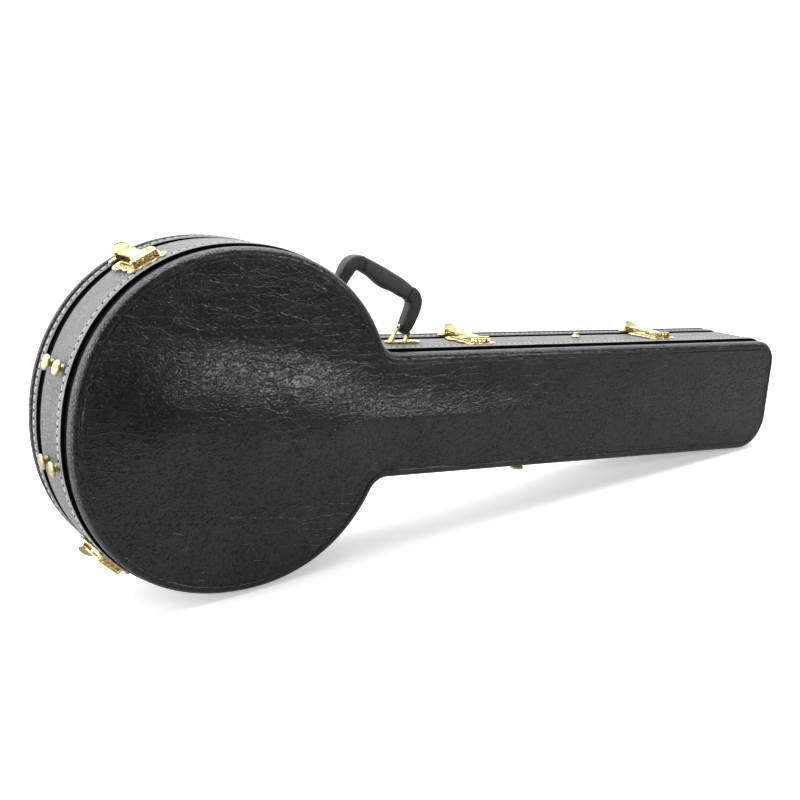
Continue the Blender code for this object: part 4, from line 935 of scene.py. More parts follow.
channel("Seam_Channel_Box", [(0.0046, 0.0766), (0.0041, 0.0772), (0.0039, 0.0784), (0.0039, 0.0806), (0.0042, 0.0816), (0.0050, 0.0820), (0.0073, 0.0820), (0.0073, 0.0766)], "shell", True)
channel("Seam_Channel_Lid", [(0.0050, 0.0830), (0.0042, 0.0834), (0.0039, 0.0844), (0.0039, 0.0868), (0.0041, 0.0880), (0.0046, 0.0884), (0.0073, 0.0884), (0.0073, 0.0830)], "lid", True)
channel("Back_Trim", [(0.0050, 0.0006), (0.0040, 0.0012), (0.0036, 0.0026), (0.0034, 0.0046), (0.0036, 0.0066), (0.0040, 0.0080), (0.0050, 0.0086), (0.0074, 0.0086), (0.0074, 0.0006)], "shell", replaces=["back_trim"])
channel("Lid_Trim", [(0.0044, 0.1010), (0.0034, 0.1014), (0.0030, 0.1026), (0.0030, 0.1038), (0.0034, 0.1050), (0.0044, 0.1055), (0.0074, 0.1055), (0.0074, 0.1010)], "lid", replaces=["lid_trim"])
channel("Valance", [(WALL + 0.0004, 0.0690), (WALL + 0.0004, 0.0890), (WALL + 0.0008, 0.0902), (WALL + 0.0014, 0.0906), (WALL + 0.0021, 0.0902), (WALL + 0.0024, 0.0890), (WALL + 0.0024, 0.0690)], "shell", replaces=["box_valance"])


# ---------------------------------------------------------------- stitching
def stitch_mesh(name, y, off, mat, hole=False):
    """Every stitch is its own short length of thread whose ends dive into the holes."""
    centres = (np.arange(STITCHES) + (0.0 if hole else 0.5)) * PITCH_S
    t = np.array([-1.0, -0.86, -0.55, 0.0, 0.55, 0.86, 1.0])
    half = PITCH_S * 0.44
    rad = np.array([0.00055, 0.00100, 0.00125, 0.00130, 0.00125, 0.00100, 0.00055])
    rise = np.array([-0.0014, -0.00050, 0.00010, 0.00022, 0.00010, -0.00050, -0.0014])
    if hole:
        half, rad, rise = 0.00135, rad * 1.15, np.array([-0.0012, -0.0010, -0.0008, -0.0007, -0.0008, -0.0010, -0.0012])
    ring = np.arange(7) * 2 * math.pi / 7
    s = centres[:, None] + half * t[None]
    p, m = along(s.ravel())
    p, m = p.reshape(STITCHES, 7, 2), m.reshape(STITCHES, 7, 2)
    out = (rise[None, :, None] + rad[None, :, None] * np.sin(ring)[None, None] * 0.62) - off
    out = np.repeat(out, STITCHES, 0)
    yy = y + rad[None, :, None] * np.cos(ring)[None, None] + 0 * out
    # a small slant, as lockstitch has
    yy = yy + 0.00035 * t[None, :, None]
    verts = np.stack([p[:, :, None, 0] + m[:, :, None, 0] * out, yy, p[:, :, None, 1] + m[:, :, None, 1] * out], -1)
    one = grid_faces(7, 7, False, True) + [tuple(range(6, -1, -1)), tuple(range(42, 49))]
    faces = [tuple(49 * k + i for i in f) for k in range(STITCHES) for f in one]
    return finish_mesh(name, verts.reshape(-1, 3), faces, mat, 0)


piece("Stitching_Box", stitch_mesh("Stitching_Box", STITCH_BOX_Y, 0.0003, M_THREAD), "shell")
piece("Stitching_Lid", stitch_mesh("Stitching_Lid", STITCH_LID_Y, 0.0006, M_THREAD), "lid")

# painted shade: dark plugs in the stitch holes
piece("Stitch_Holes_Box", stitch_mesh("Stitch_Holes_Box", STITCH_BOX_Y, 0.0, M_HOLE_SHADE, True), "shell")
piece("Stitch_Holes_Lid", stitch_mesh("Stitch_Holes_Lid", STITCH_LID_Y, 0.0003, M_HOLE_SHADE, True), "lid")

# ---------------------------------------------------------------- vaulted panels
PANEL_BAND = Band(0.0022)
ROLL_A, ROLL_B, ROLL_Y = 0.0112, 0.0083, -0.0052
roll = [(0.0025 + (ROLL_A - 0.0025) * (1 - math.cos(math.radians(a))), ROLL_Y - ROLL_B * math.sin(math.radians(a))) for a in range(10, 81, 10)]
outer = [(0.0074, 0.0000), (0.0052, 0.0000), (0.0038, -0.0002), (0.0030, -0.0008), (0.0026, -0.0018), (0.0025, -0.0034), (0.0025, ROLL_Y)] + roll
outer += [(ROLL_A - 0.0006, PANEL_Y + 0.00005), (ROLL_A + 0.0004, PANEL_Y + 0.0004), (ROLL_A + 0.0012, PANEL_Y + 0.0010), (ROLL_A + 0.0020, PANEL_Y + 0.0008), (ROLL_A + 0.0028, PANEL_Y - 0.0001), (ROLL_A + 0.0038, PANEL_Y - 0.0003), (ROLL_A + 0.0048, PANEL_Y)]
OFF_FACE = ROLL_A + 0.0048
back = panel_mesh("Back_Panel", PANEL_BAND, outer, [(0.0090, PANEL_Y + 0.0048)], PANEL_Y, PANEL_Y + 0.0048, -1, OFF_FACE, 0.0090, 0.0022, M_FACE, 0.00028, 11)
bind(piece("Back_Panel", back, "shell", ["back_panel"]), PANEL_Y + 0.0016, 0.01, M_ROLL)

roll = [(0.0090 * (1 - math.cos(math.radians(a))), 0.1110 + 0.0055 * math.sin(math.radians(a))) for a in range(10, 81, 10)]
outer = [(0.0072, 0.1060), (0.0030, 0.1060), (0.0012, 0.1062), (0.0003, 0.1068), (0.0, 0.1078), (0.0, 0.1110)] + roll
outer += [(0.0092, LID_FACE_Y - 0.00005), (0.0100, LID_FACE_Y - 0.0005), (0.0110, LID_FACE_Y - 0.0003), (0.0118, LID_FACE_Y + 0.0002), (0.0130, LID_FACE_Y + 0.0002), (0.0140, LID_FACE_Y)]
front = panel_mesh("Lid_Panel", PANEL_BAND, outer, [(0.0090, LID_FACE_Y - 0.0048)], LID_FACE_Y, LID_FACE_Y - 0.0048, 1, 0.0140, 0.0090, 0.0026, M_LIDFACE, 0.00028, 47)
bind(piece("Lid_Panel", front, "lid", ["lid_panel"]), 0.09, LID_FACE_Y - 0.0016, M_ROLL)

# ---------------------------------------------------------------- latches
# latch frame: X along the wall, Y towards the lid, Z out of the wall, origin on the wall at the seam
PIVOT = (-0.0535, 0.0053)


def shield_loop():
    half = [(0.0, -0.0668), (0.0050, -0.0662), (0.0085, -0.0642), (0.0120, -0.0655), (0.0165, -0.0650), (0.0212, -0.0618), (0.0232, -0.0570),
            (0.0205, -0.0530), (0.0190, -0.0495), (0.0212, -0.0445), (0.0218, -0.0390), (0.0196, -0.0345), (0.0214, -0.0300), (0.0245, -0.0245),
            (0.0248, -0.0185), (0.0222, -0.0130), (0.0175, -0.0100), (0.0120, -0.0086), (0.0060, -0.0066)]
    pts = half + [(0.0, -0.0060)] + [(-x, y) for x, y in reversed(half[1:])]
    return spline(pts, 4)


def scroll(cx, cy, turn, size, hand, z, r=0.00042):
    """Raised spiral ornament."""
    pts = []
    for i in range(26):
        u = i / 25
        a = turn + hand * u * 2.6 * math.pi
        q = size * (1 - 0.80 * u)
        pts.append((cx + q * math.cos(a), cy + q * math.sin(a), z))
    return tube(pts, r * np.linspace(0.5, 1.0, 26), 6)


def dome(x, y, z, r, h):
    return lathe([(0, z - 0.0006), (r * 1.12, z - 0.0006), (r * 1.12, z + h * 0.15), (r, z + h * 0.35), (r * 0.78, z + h * 0.74), (r * 0.42, z + h * 0.95), (0, z + h)], 14, Matrix.Translation((x, y, 0)))


def bored_ear(x0, x1, r, bore, y, z, foot, count=20):
    """Ear block with a round top about (y, z) and a hole through it, standing on foot."""
    outer_loop = []
    for i in range(count):
        a = 2 * math.pi * i / count
        c, s = math.cos(a), math.sin(a)
        if s < 0:
            k = min(abs(foot - z) / max(-s, 1e-6), r * 1.25 / max(abs(c), 1e-6))
            outer_loop.append((c * min(k, 9), s * min(k, 9)))
        else:
            outer_loop.append((r * c, r * s))
    rings = []
    for xx, shrink in ((x0, 0.00035), (x0 + 0.00035, 0.0), (x1 - 0.00035, 0.0), (x1, 0.00035)):
        rings.append([(xx, y + u * (1 - shrink / r), z + w * (1 - shrink / r)) for u, w in outer_loop])
    for xx in (x1, x0):
        rings.append([(xx, y + bore * math.cos(2 * math.pi * i / count), z + bore * math.sin(2 * math.pi * i / count)) for i in range(count)])
    verts = [v for ring in rings for v in ring]
    return verts, [tuple(f) for f in grid_faces(len(rings), count, True, True)]


def latch_base():
    loop = shield_loop()
    parts = [plate(loop, [(0.0, 0.0001), (0.0, 0.0011), (0.0005, 0.0017), (0.0012, 0.0018), (0.0016, 0.0014), (0.0024, 0.0012)])]
    z = 0.00135
    for s in (-1, 1):
        parts.append(bored_ear(*sorted((s * 0.0113, s * 0.0150)), 0.0034, 0.0014, PIVOT[0], PIVOT[1], 0.0010))
        parts.append(scroll(s * 0.0172, -0.0415, math.radians(200 if s > 0 else -20), 0.0030, -s, z))
        parts.append(scroll(s * 0.0186, -0.0285, math.radians(150 if s > 0 else 30), 0.0036, s, z))
        parts.append(scroll(s * 0.0130, -0.0150, math.radians(90), 0.0030, -s, z))
        parts.append(dome(s * 0.0186, -0.0590, 0.0014, 0.0023, 0.0013))
        parts.append(dome(s * 0.0200, -0.0188, 0.0014, 0.0023, 0.0013))
        # spring cover between the ears and the seam
        rail = [(s * 0.0118, y, 0.0019 + 0.0007 * math.sin((y + 0.047) / 0.033 * math.pi)) for y in np.linspace(-0.0470, -0.0140, 16)]
        parts.append(tube(rail, 0.0008, 8))
    # shallow cross ribs below the lever
    for y in (-0.0440, -0.0370, -0.0300, -0.0230):
        parts.append(tube([(x, y, 0.0014) for x in np.linspace(-0.0095, 0.0095, 9)], 0.0006, 6))
    return join(parts)


def latch_lever():
    """Drawn about the lever pin. Flat lever plate with a raised border, long slot, curled barrel; the thumb tab is
    drawn apart in latch_tab.
    """
    parts = []
    rows, cols = 46, 25
    v = np.linspace(0, 1, rows)
    yy = 0.0022 + (0.0662 - 0.0022) * v
    half = 0.0070 + 0.0026 * sstep(0.0165, 0.0130, yy)
    half = np.where(v > 0.93, half - 0.0010 * ((v - 0.93) / 0.07) ** 2, half)
    u = np.linspace(-1, 1, cols)
    ux = np.sign(u) * np.abs(u) ** 0.8
    fx = half[:, None] * ux[None]
    fy = np.repeat(yy[:, None], cols, 1)
    mid = 0.0021 + 0.0014 * sstep(0.0135, 0.0175, yy) + 0.0005 * sstep(0.86, 1.0, v)
    edge = np.abs(fx)
    inward = half[:, None] - edge
    top = mid[:, None] - 0.0005 * sstep(0.0012, 0.0, inward)
    # raised border round a sunk field
    border = sstep(0.0012, 0.0020, inward) * sstep(0.0190, 0.0205, fy) * sstep(0.0600, 0.0585, fy)
    top = top - 0.00055 * border
    # raised tablet in the field
    tablet = sstep(0.0046, 0.0040, edge) * sstep(0.0265, 0.0275, fy) * sstep(0.0560, 0.0550, fy)
    top = top + 0.00075 * tablet
    # slot near the barrel
    slot = sstep(0.0056, 0.0050, edge) * sstep(0.0205, 0.0212, fy) * sstep(0.0250, 0.0243, fy)
    low = mid[:, None] - 0.0017 + 0 * fx
    top = top - 0.0008 * slot
    parts.append(slab(fx, fy, top, low))
    # side skirts
    for s in (-1, 1):
        ys = np.linspace(0.008, 0.058, 24)
        path = [(s * (float(np.interp(y, yy, half)) - 0.0005), y, float(np.interp(y, yy, mid)) - 0.0014) for y in ys]
        parts.append(tube(path, np.concatenate([[0.0004], np.full(22, 0.0008), [0.0004]]), 8, 1.6))
    # barrel curled round the pin, with cut-outs
    ring_n, len_n = 28, 33
    xs = np.linspace(-0.0105, 0.0105, len_n)
    ang = np.arange(ring_n) * 2 * math.pi / ring_n
    rr = np.full((len_n, ring_n), 0.0034)
    for c in (-0.0062, 0.0, 0.0062):
        rr -= 0.0012 * (sstep(0.0021, 0.0016, np.abs(xs - c))[:, None] * sstep(0.75, 0.60, np.abs(((ang - 3.2 + math.pi) % (2 * math.pi)) - math.pi))[None])
    rr -= 0.0005 * sstep(0.0100, 0.0105, np.abs(xs))[:, None]
    outer_v = np.stack([np.repeat(xs[:, None], ring_n, 1), rr * np.cos(ang), rr * np.sin(ang)], -1).reshape(-1, 3)
    inner_v = np.stack([np.repeat(xs[::-1][[0, -1]][:, None], ring_n, 1), 0.00145 * np.cos(ang)[None] + np.zeros((2, 1)), 0.00145 * np.sin(ang)[None] + np.zeros((2, 1))], -1).reshape(-1, 3)
    verts = np.concatenate([outer_v, inner_v])
    parts.append(([tuple(q) for q in verts], [tuple(f) for f in grid_faces(len_n + 2, ring_n, True, True)]))
    # claw under the free end, hooked beyond the strike's lip
    ys = np.array([0.0600, 0.0622, 0.0638, 0.0645, 0.0642])
    zs = np.array([0.0024, 0.0018, 0.0006, -0.0010, -0.0026])
    parts.append(slab(np.repeat(np.linspace(-0.0060, 0.0060, 7)[None], 5, 0), np.repeat(ys[:, None], 7, 1) + 0.0004, np.repeat(zs[:, None], 7, 1) + 0.0006, np.repeat(zs[:, None], 7, 1) - 0.0003))
    return join(parts)


def latch_tab():
    """Thumb disc at the lever's end, drawn about the lever pin."""
    tilt = Matrix.Translation((0, 0.0560, 0.0030)) @ Matrix.Rotation(math.radians(31), 4, "X")
    pts = [(-0.0094, -0.0010)] + [(0.0106 * math.cos(math.radians(a)), 0.0020 + 0.0100 * math.sin(math.radians(a))) for a in range(180, -1, -12)] + [(0.0094, -0.0010)]
    loop = np.array(pts[::-1])
    tab = plate(loop, [(0.0003, -0.0008), (0.0, -0.0004), (0.0, 0.0003), (0.0004, 0.0008), (0.0011, 0.0009), (0.0016, 0.0005), (0.0024, 0.0003)])
    return shift(tab, tilt)


def latch_strike():
    half = [(0.0, 0.0060), (0.0075, 0.0060), (0.0125, 0.0062), (0.0158, 0.0085), (0.0166, 0.0112), (0.0142, 0.0142), (0.0105, 0.0150), (0.0070, 0.0164)]
    loop = spline(half + [(0.0, 0.0170)] + [(-x, y) for x, y in reversed(half[1:])], 4)
    parts = [plate(loop, [(0.0, 0.0001), (0.0, 0.0010), (0.0004, 0.0015), (0.0010, 0.0016), (0.0014, 0.0012)])]
    lip_y = np.array([0.0062, 0.0070, 0.0076])
    fx = np.repeat(np.linspace(-0.0084, 0.0084, 9)[None], 3, 0)
    parts.append(slab(fx, np.repeat(lip_y[:, None], 9, 1), np.full((3, 9), 0.0051), np.full((3, 9), 0.0009)))
    for s in (-1, 1):
        parts.append(dome(s * 0.0118, 0.0110, 0.0012, 0.0018, 0.0011))
    return join(parts)


def latch_frames():
    out = []
    for deg in LATCH_DRUM_DEG:
        p, n = drum_point(deg), drum_normal(deg)
        out.append(axes((p[0], SEAM_Y, p[1]), (n[1], 0, -n[0]), (n[0], 0, n[1])))
    for x in LATCH_NECK_X:
        out.append(axes((x, SEAM_Y, neck_half(x)), (1, 0, 0), (NECK_N[0], 0, NECK_N[1])))
    return [f if (f.to_3x3() @ Vector((0, 1, 0))).y > 0 else f @ Matrix.Rotation(math.pi, 4, "Z") for f in out]


base_part, lever_part, strike_part, tab_part = latch_base(), latch_lever(), latch_strike(), latch_tab()
for k, f in enumerate(latch_frames(), 1):
    for label, part, at, body, node in (
        ("Latch_Base", base_part, f, "shell", "latch_base"),
        ("Latch_Lever", lever_part, f @ Matrix.Translation((0, PIVOT[0], PIVOT[1])), f"latch_lever_{k}", "latch_tongue"),
        ("Latch_Strike", strike_part, f, "lid", "latch_strike"),
        ("Latch_Tab", tab_part, f @ Matrix.Translation((0, PIVOT[0], PIVOT[1])), f"latch_lever_{k}", ""),
    ):
        verts, faces = shift(part, at)
        # the thumb tab takes the darker gold copy, painted shade
        mat = M_GOLD if node else M_GOLD_TAB_SHADED
        piece(f"{label}_{k}", finish_mesh(f"{label}_{k}", [tuple(v) for v in verts], faces, mat, 32.0), body, [f"{node}_{k}"] if node else [])

# ---------------------------------------------------------------- handle
AX_DIR = Vector((math.cos(math.radians(HANDLE_AXIS_DEG)), 0, math.sin(math.radians(HANDLE_AXIS_DEG))))
AX_P = Vector((HANDLE_AXIS_P[0], HANDLE_Y, HANDLE_AXIS_P[1]))
UP = Vector((-AX_DIR.z, 0, AX_DIR.x))
LINE = np.array(HANDLE_LINE)
LINE[:4, 2], LINE[:4, 3] = (0.0122, 0.0146, 0.0158, 0.0167), (0.0092, 0.0112, 0.0142, 0.0170)
LINE[-6:, 2], LINE[-6:, 3] = (0.0176, 0.0172, 0.0166, 0.0158, 0.0146, 0.0124), (0.0178, 0.0176, 0.0172, 0.0166, 0.0148, 0.0118)
END_L = AX_P + AX_DIR * (Vector((LINE[0, 0], HANDLE_Y, LINE[0, 1])) - AX_P).dot(AX_DIR)
END_R = AX_P + AX_DIR * (Vector((LINE[-1, 0], HANDLE_Y, LINE[-1, 1])) - AX_P).dot(AX_DIR)


def handle_mesh(name, u0, u1, power, mat, end_a, end_b, bore=None):
    """Lofted length of the handle between two places on its line; power sets how square the section is."""
    count = int((u1 - u0) * 7) + 1
    us = np.linspace(u0, u1, count)
    line = spline(LINE, 12, closed=False)
    at = np.linspace(0, len(LINE) - 1, len(line))
    c = np.stack([np.interp(us, at, line[:, k]) for k in range(4)], 1)
    d = np.stack([np.interp(us + 0.05, at, line[:, k]) - np.interp(us - 0.05, at, line[:, k]) for k in (0, 1)], 1)
    d /= np.linalg.norm(d, axis=1, keepdims=True)
    side = np.stack([d[:, 1], -d[:, 0]], 1)
    ring_n = 44
    a = np.arange(ring_n) * 2 * math.pi / ring_n + 0.01
    cu = np.sign(np.cos(a)) * np.abs(np.cos(a)) ** (2 / power)
    cv = np.sign(np.sin(a)) * np.abs(np.sin(a)) ** (2 / power)
    rings = []
    for i in range(count):
        w, dep = c[i, 2] / 2, c[i, 3] / 2
        if end_a and i < 4:
            w, dep = w - end_a * (1 - i / 4) ** 2, dep - end_a * (1 - i / 4) ** 2
        if end_b and i > count - 5:
            k = (count - 1 - i) / 4
            w, dep = w - end_b * (1 - k) ** 2, dep - end_b * (1 - k) ** 2
        x = c[i, 0] + side[i, 0] * cu * w
        z = c[i, 1] + side[i, 1] * cu * w
        rings.append(np.stack([x, HANDLE_Y + cv * dep, z], 1))
    # blunt rounded ends
    for first in (True, False):
        src = rings[0] if first else rings[-1]
        centre = src.mean(0)
        along_v = (rings[0] - rings[1]).mean(0) if first else (rings[-1] - rings[-2]).mean(0)
        along_v = along_v / np.linalg.norm(along_v)
        big = (first and bore == "a") or (not first and bore == "b")
        steps = ((0.95, 0.0008), (0.82, 0.0018), (0.45, 0.0024)) if big else ((0.93, 0.0002), (0.4, 0.0002))
        for k, (s, push) in enumerate(steps):
            ring = centre + (src - centre) * s + along_v * push
            if first:
                rings.insert(0, ring)
            else:
                rings.append(ring)
    verts = np.concatenate(rings)
    faces = [tuple(f) for f in grid_faces(len(rings), ring_n, False, True)]
    faces += [tuple(reversed(range(ring_n))), tuple((len(rings) - 1) * ring_n + k for k in range(ring_n))]
    return finish_mesh(name, verts, faces, mat, 0)


piece("Handle_Leg_Drum", handle_mesh("Handle_Leg_Drum", 0.0, 6.95, 4.8, M_PEBBLE, 0, 0.0011, "a"), "handle", ["handle_leg_drum"])
piece("Handle_Grip", handle_mesh("Handle_Grip", 7.05, 15.95, 3.0, M_GRIP, 0.0012, 0.0012), "handle", ["handle_grip"])
piece("Handle_Leg_Neck", handle_mesh("Handle_Leg_Neck", 16.05, 24.0, 4.8, M_PEBBLE, 0.0011, 0, "b"), "handle", ["handle_leg_neck"])


def bracket_part(end, foot, normal, tangent):
    """Ornate base plate with a screw at each end, two ears with eyes on the folding axis."""
    at = axes(foot, tangent, normal)
    half = [(0.0, -0.0078), (0.0060, -0.0070), (0.0090, -0.0052), (0.0125, -0.0078), (0.0170, -0.0086), (0.0215, -0.0062), (0.0245, -0.0026), (0.0258, 0.0)]
    loop = [(x, y) for x, y in half] + [(x, -y) for x, y in reversed(half[:-1])]
    loop = loop + [(-x, -y) for x, y in half[1:]] + [(-x, y) for x, y in reversed(half[1:-1])]
    base = plate(spline(loop, 4), [(0.0, 0.0001), (0.0, 0.0010), (0.0004, 0.0016), (0.0010, 0.0017), (0.0014, 0.0013), (0.0020, 0.0012)])
    parts = [shift(base, at)]
    for s in (-1, 1):
        parts.append(shift(dome(s * 0.0180, 0.0, 0.0012, 0.0025, 0.0013), at))
        parts.append(shift(scroll(s * 0.0115, 0.0030, 0, 0.0022, s, 0.0013), at))
        parts.append(shift(scroll(s * 0.0115, -0.0030, math.pi, 0.0022, s, 0.0013), at))
    for s in (-1, 1):
        o = end + AX_DIR * (s * 0.0090)
        down = at.inverted() @ o
        drop = down.z / max(UP.dot(Vector(normal)), 0.2)
        f = axes(o, UP, AX_DIR)
        r = 0.0037
        # outline of the ear: round head, waist, spread foot
        pts = [(r * math.cos(math.radians(t)), r * math.sin(math.radians(t))) for t in range(-120, 121, 15)]
        length = max(drop - 0.0008, 0.004)
        right = [(-min(length * 0.45, 0.006), 0.0026), (-min(length * 0.8, 0.010), 0.0029), (-length, 0.0044)]
        loop = np.array(pts + right + [(x, -y) for x, y in reversed(right)])
        loop = ccw(loop)
        n = len(loop)
        hole = np.array([(0.0017 * math.cos(2 * math.pi * i / 20), 0.0017 * math.sin(2 * math.pi * i / 20)) for i in range(20)])
        ring_z = (-0.0011, -0.0008, 0.0008, 0.0011)
        ins = (0.0003, 0.0, 0.0, 0.0003)
        verts, faces = [], []
        for zz, d in zip(ring_z, ins):
            verts += [(x, y, zz) for x, y in inset(loop, d)]
        faces += [tuple(q) for q in grid_faces(4, n, False, True)]
        base_i = len(verts)
        for zz in (-0.0011, 0.0011):
            verts += [(x, y, zz) for x, y in hole]
        faces += [tuple(base_i + i for i in q) for q in grid_faces(2, 20, False, True)]
        for ring_base, hole_base in ((0, base_i), (3 * n, base_i + 20)):
            ring = [Vector((verts[ring_base + i][0], verts[ring_base + i][1], 0)) for i in range(n)]
            inner = [Vector((x, y, 0)) for x, y in hole[::-1]]
            ids = [ring_base + i for i in range(n)] + [hole_base + 19 - i for i in range(20)]
            faces += [tuple(ids[i] for i in t) for t in tessellate_polygon([ring, inner])]
        parts.append(shift((verts, faces), f))
        # eyelet round the hole
        pts = [(0.0024 * math.cos(a), 0.0024 * math.sin(a), s * 0.0010) for a in np.linspace(0, 2 * math.pi, 25)]
        parts.append(shift(tube(pts, 0.00045, 6), f))
    return join(parts)


def drum_under(point):
    best = min(range(900), key=lambda a: float(np.linalg.norm(drum_point(a / 10) - np.array([point.x, point.z]))))
    return best / 10


deg = drum_under(END_L)
p, n = drum_point(deg), drum_normal(deg)
v, f = bracket_part(END_L, (p[0], HANDLE_Y, p[1]), (n[0], 0, n[1]), (n[1], 0, -n[0]))
piece("Bracket_Drum", finish_mesh("Bracket_Drum", v, f, M_GOLD, 32.0), "shell", ["handle_bracket_drum"])
xr = END_R.x - SLOPE * 0.01
v, f = bracket_part(END_R, (xr, HANDLE_Y, neck_half(xr)), (NECK_N[0], 0, NECK_N[1]), (1, 0, 0))
piece("Bracket_Neck", finish_mesh("Bracket_Neck", v, f, M_GOLD, 32.0), "shell", ["handle_bracket_neck"])

# ---------------------------------------------------------------- feet and stud
foot_profile = [(0, 0.0001), (0.0054, 0.0001), (0.0054, 0.0006), (0.0050, 0.0010), (0.0042, 0.0014), (0.0038, 0.0022), (0.0038, 0.0034), (0.0044, 0.0040), (0.0070, 0.0043),
                (0.0080, 0.0047), (0.0084, 0.0054), (0.0085, 0.0062), (0.0082, 0.0071), (0.0074, 0.0078), (0.0064, 0.0082), (0.0055, 0.0081), (0.0046, 0.0078), (0.0036, 0.0080), (0.0020, 0.0084), (0, 0.0085)]
for k, (deg, y) in enumerate(FOOT_PLACES, 1):
    p, n = drum_point(deg), drum_normal(deg)
    v, f = lathe(foot_profile, 40, axes((p[0], y, p[1]), (0, 1, 0), (n[0], 0, n[1])))
    piece(f"Foot_{k}", finish_mesh(f"Foot_{k}", [tuple(q) for q in v], f, M_GOLD_FOOT, 50.0), "shell", [f"stud_foot_{k}"])
v, f = lathe(foot_profile, 40, axes((NECK_FOOT_X, 0.0165, -neck_half(NECK_FOOT_X)), (0, 1, 0), (NECK_N[0], 0, -NECK_N[1])))
piece("Foot_5", finish_mesh("Foot_5", [tuple(q) for q in v], f, M_GOLD_FOOT, 50.0), "shell", ["stud_foot_5"])
stud_profile = [(0, 0.0001), (0.0062, 0.0001), (0.0062, 0.0008), (0.0056, 0.0015), (0.0046, 0.0020), (0.0036, 0.0030), (0.0033, 0.0040), (0.0036, 0.0047), (0.0034, 0.0054), (0.0024, 0.0060), (0.0010, 0.0062), (0, 0.0062)]
v, f = lathe(stud_profile, 32, axes((NECK_STUD_X, 0.058, neck_half(NECK_STUD_X)), (1, 0, 0), (NECK_N[0], 0, NECK_N[1])))
piece("Neck_Stud", finish_mesh("Neck_Stud", [tuple(q) for q in v], f, M_GOLD_FOOT, 50.0), "shell", ["neck_stud"])


# ---------------------------------------------------------------- inside
def lining(name, edge_y, floor_y, back_y, sign, body, node, mat, seed):
    """Plush-covered padding: rolled rim, soft wall, seam round the floor, gently uneven floor."""
    band = Band(0.0048)
    o_in, o_out = WALL + PAD, WALL + 0.0005
    s = -sign
    rim = [(o_in + 0.0002 - 0.0040 + 0.0040 * math.cos(a), edge_y - s * 0.0038 + s * 0.0038 * math.sin(a)) for a in np.linspace(0, math.pi * 0.5, 5)]
    rows_in = [(o_in + 0.0022, floor_y + s * 0.0006), (o_in + 0.0004, floor_y + s * 0.0026), (o_in - 0.0002, floor_y + s * 0.0070)]
    mid_y = np.linspace(floor_y + s * 0.012, edge_y - s * 0.0050, 6 if abs(edge_y - floor_y) > 0.03 else 2)
    rows_in += [(o_in - 0.0004, y) for y in mid_y] + rim
    rows = rows_in + [(o_out + 0.0012, edge_y), (o_out, edge_y - s * 0.0015), (o_out, back_y + s * 0.0030), (0.0102, back_y)]
    rings = []
    for k, (off, y) in enumerate(rows):
        wob = 0.0009 * (vnoise(band.s / 0.04, np.full(band.n, y / 0.02), seed) - 0.5) if k < len(rows_in) else 0.0
        rings.append(band.ring(np.full(band.n, off) + wob, y))
    verts = np.concatenate(rings)
    faces = [tuple(f) for f in grid_faces(len(rows), band.n, False, True)]
    n = band.n
    for offset, y0, base, soft in ((rows[0][0], rows[0][1], 0, True), (rows[-1][0], back_y, (len(rows) - 1) * n, False)):
        pts, tris, dist = sheet(band, offset, 0.0055 if soft else 0.012)
        up = vault(pts[:, 0], pts[:, 1], dist)
        y = y0 + sign * up
        if soft:
            pillow = 0.0016 * sstep(offset, offset + 0.016, dist) - 0.0006
            y = y - sign * (pillow + 0.0008 * (vnoise(pts[:, 0] / 0.03, pts[:, 1] / 0.03, seed + 1) - 0.5)) * 0.6
        start = len(verts)
        remap = np.where(np.arange(len(pts)) < n, base + np.arange(len(pts)), start + np.arange(len(pts)) - n)
        verts = np.concatenate([verts, np.stack([pts[n:, 0], y[n:], pts[n:, 1]], 1)])
        faces += [tuple(int(remap[i]) for i in t) for t in tris]
    return piece(name, finish_mesh(name, verts, faces, mat, 0), body, [node])


lining("Box_Lining", 0.0655, -0.0015, -0.0061, -1, "shell", "box_lining", M_PLUSH, 5)
lining("Lid_Lining", 0.0935, 0.1055, 0.1091, 1, "lid", "lid_lining", M_PLUSH, 9)


def pad_block(name, loop, x0, x1, soft, body, node, mat, seed, crown=0.0012):
    """Upholstered block: a (z, y) outline run along x, its edges rolled over."""
    loop = ccw(np.array(loop, float))
    # even spacing round the outline
    q = np.concatenate([loop, loop[:1]])
    seg = np.linalg.norm(np.diff(q, axis=0), axis=1)
    cum = np.concatenate([[0], np.cumsum(seg)])
    count = max(24, int(cum[-1] / 0.0022))
    s = np.arange(count) * cum[-1] / count
    loop = np.stack([np.interp(s, cum, q[:, k]) for k in (0, 1)], 1)
    for _ in range(2):
        loop = 0.5 * loop + 0.25 * (np.roll(loop, 1, 0) + np.roll(loop, -1, 0))
    stations = []
    for a in np.linspace(0, 90, 6):
        stations.append((x0 + soft * (1 - math.sin(math.radians(a))), soft * (1 - math.sin(math.radians(a)))))
    prof = [(x0 + soft * (1 - math.cos(math.radians(a))), soft * (1 - math.sin(math.radians(a)))) for a in np.linspace(0, 90, 6)]
    prof += [(x, 0.0) for x in np.linspace(x0 + soft, x1 - soft, 5)[1:-1]]
    prof += [(x1 - soft * (1 - math.cos(math.radians(a))), soft * (1 - math.sin(math.radians(a)))) for a in np.linspace(90, 0, 6)]
    rings = []
    for x, d in prof:
        ring = inset(loop, d + 0.0)
        wob = 0.0005 * (vnoise(ring[:, 0] / 0.012 + 9, ring[:, 1] / 0.012 + x / 0.012, seed) - 0.5)
        rings.append(np.stack([np.full(count, x), ring[:, 1] + wob, ring[:, 0]], 1))
    verts = np.concatenate(rings)
    faces = [tuple(f) for f in grid_faces(len(rings), count, False, True)]
    for base, turn in ((0, True), ((len(rings) - 1) * count, False)):
        tris = tessellate_polygon([[Vector((v[2], v[1], 0)) for v in verts[base:base + count]]])
        faces += [tuple(base + i for i in t) for t in tris]
    return piece(name, finish_mesh(name, verts, faces, mat, 60.0), body, [node])


FLOOR_Y = 0.0010
ACC_X = (0.3350, 0.4750)


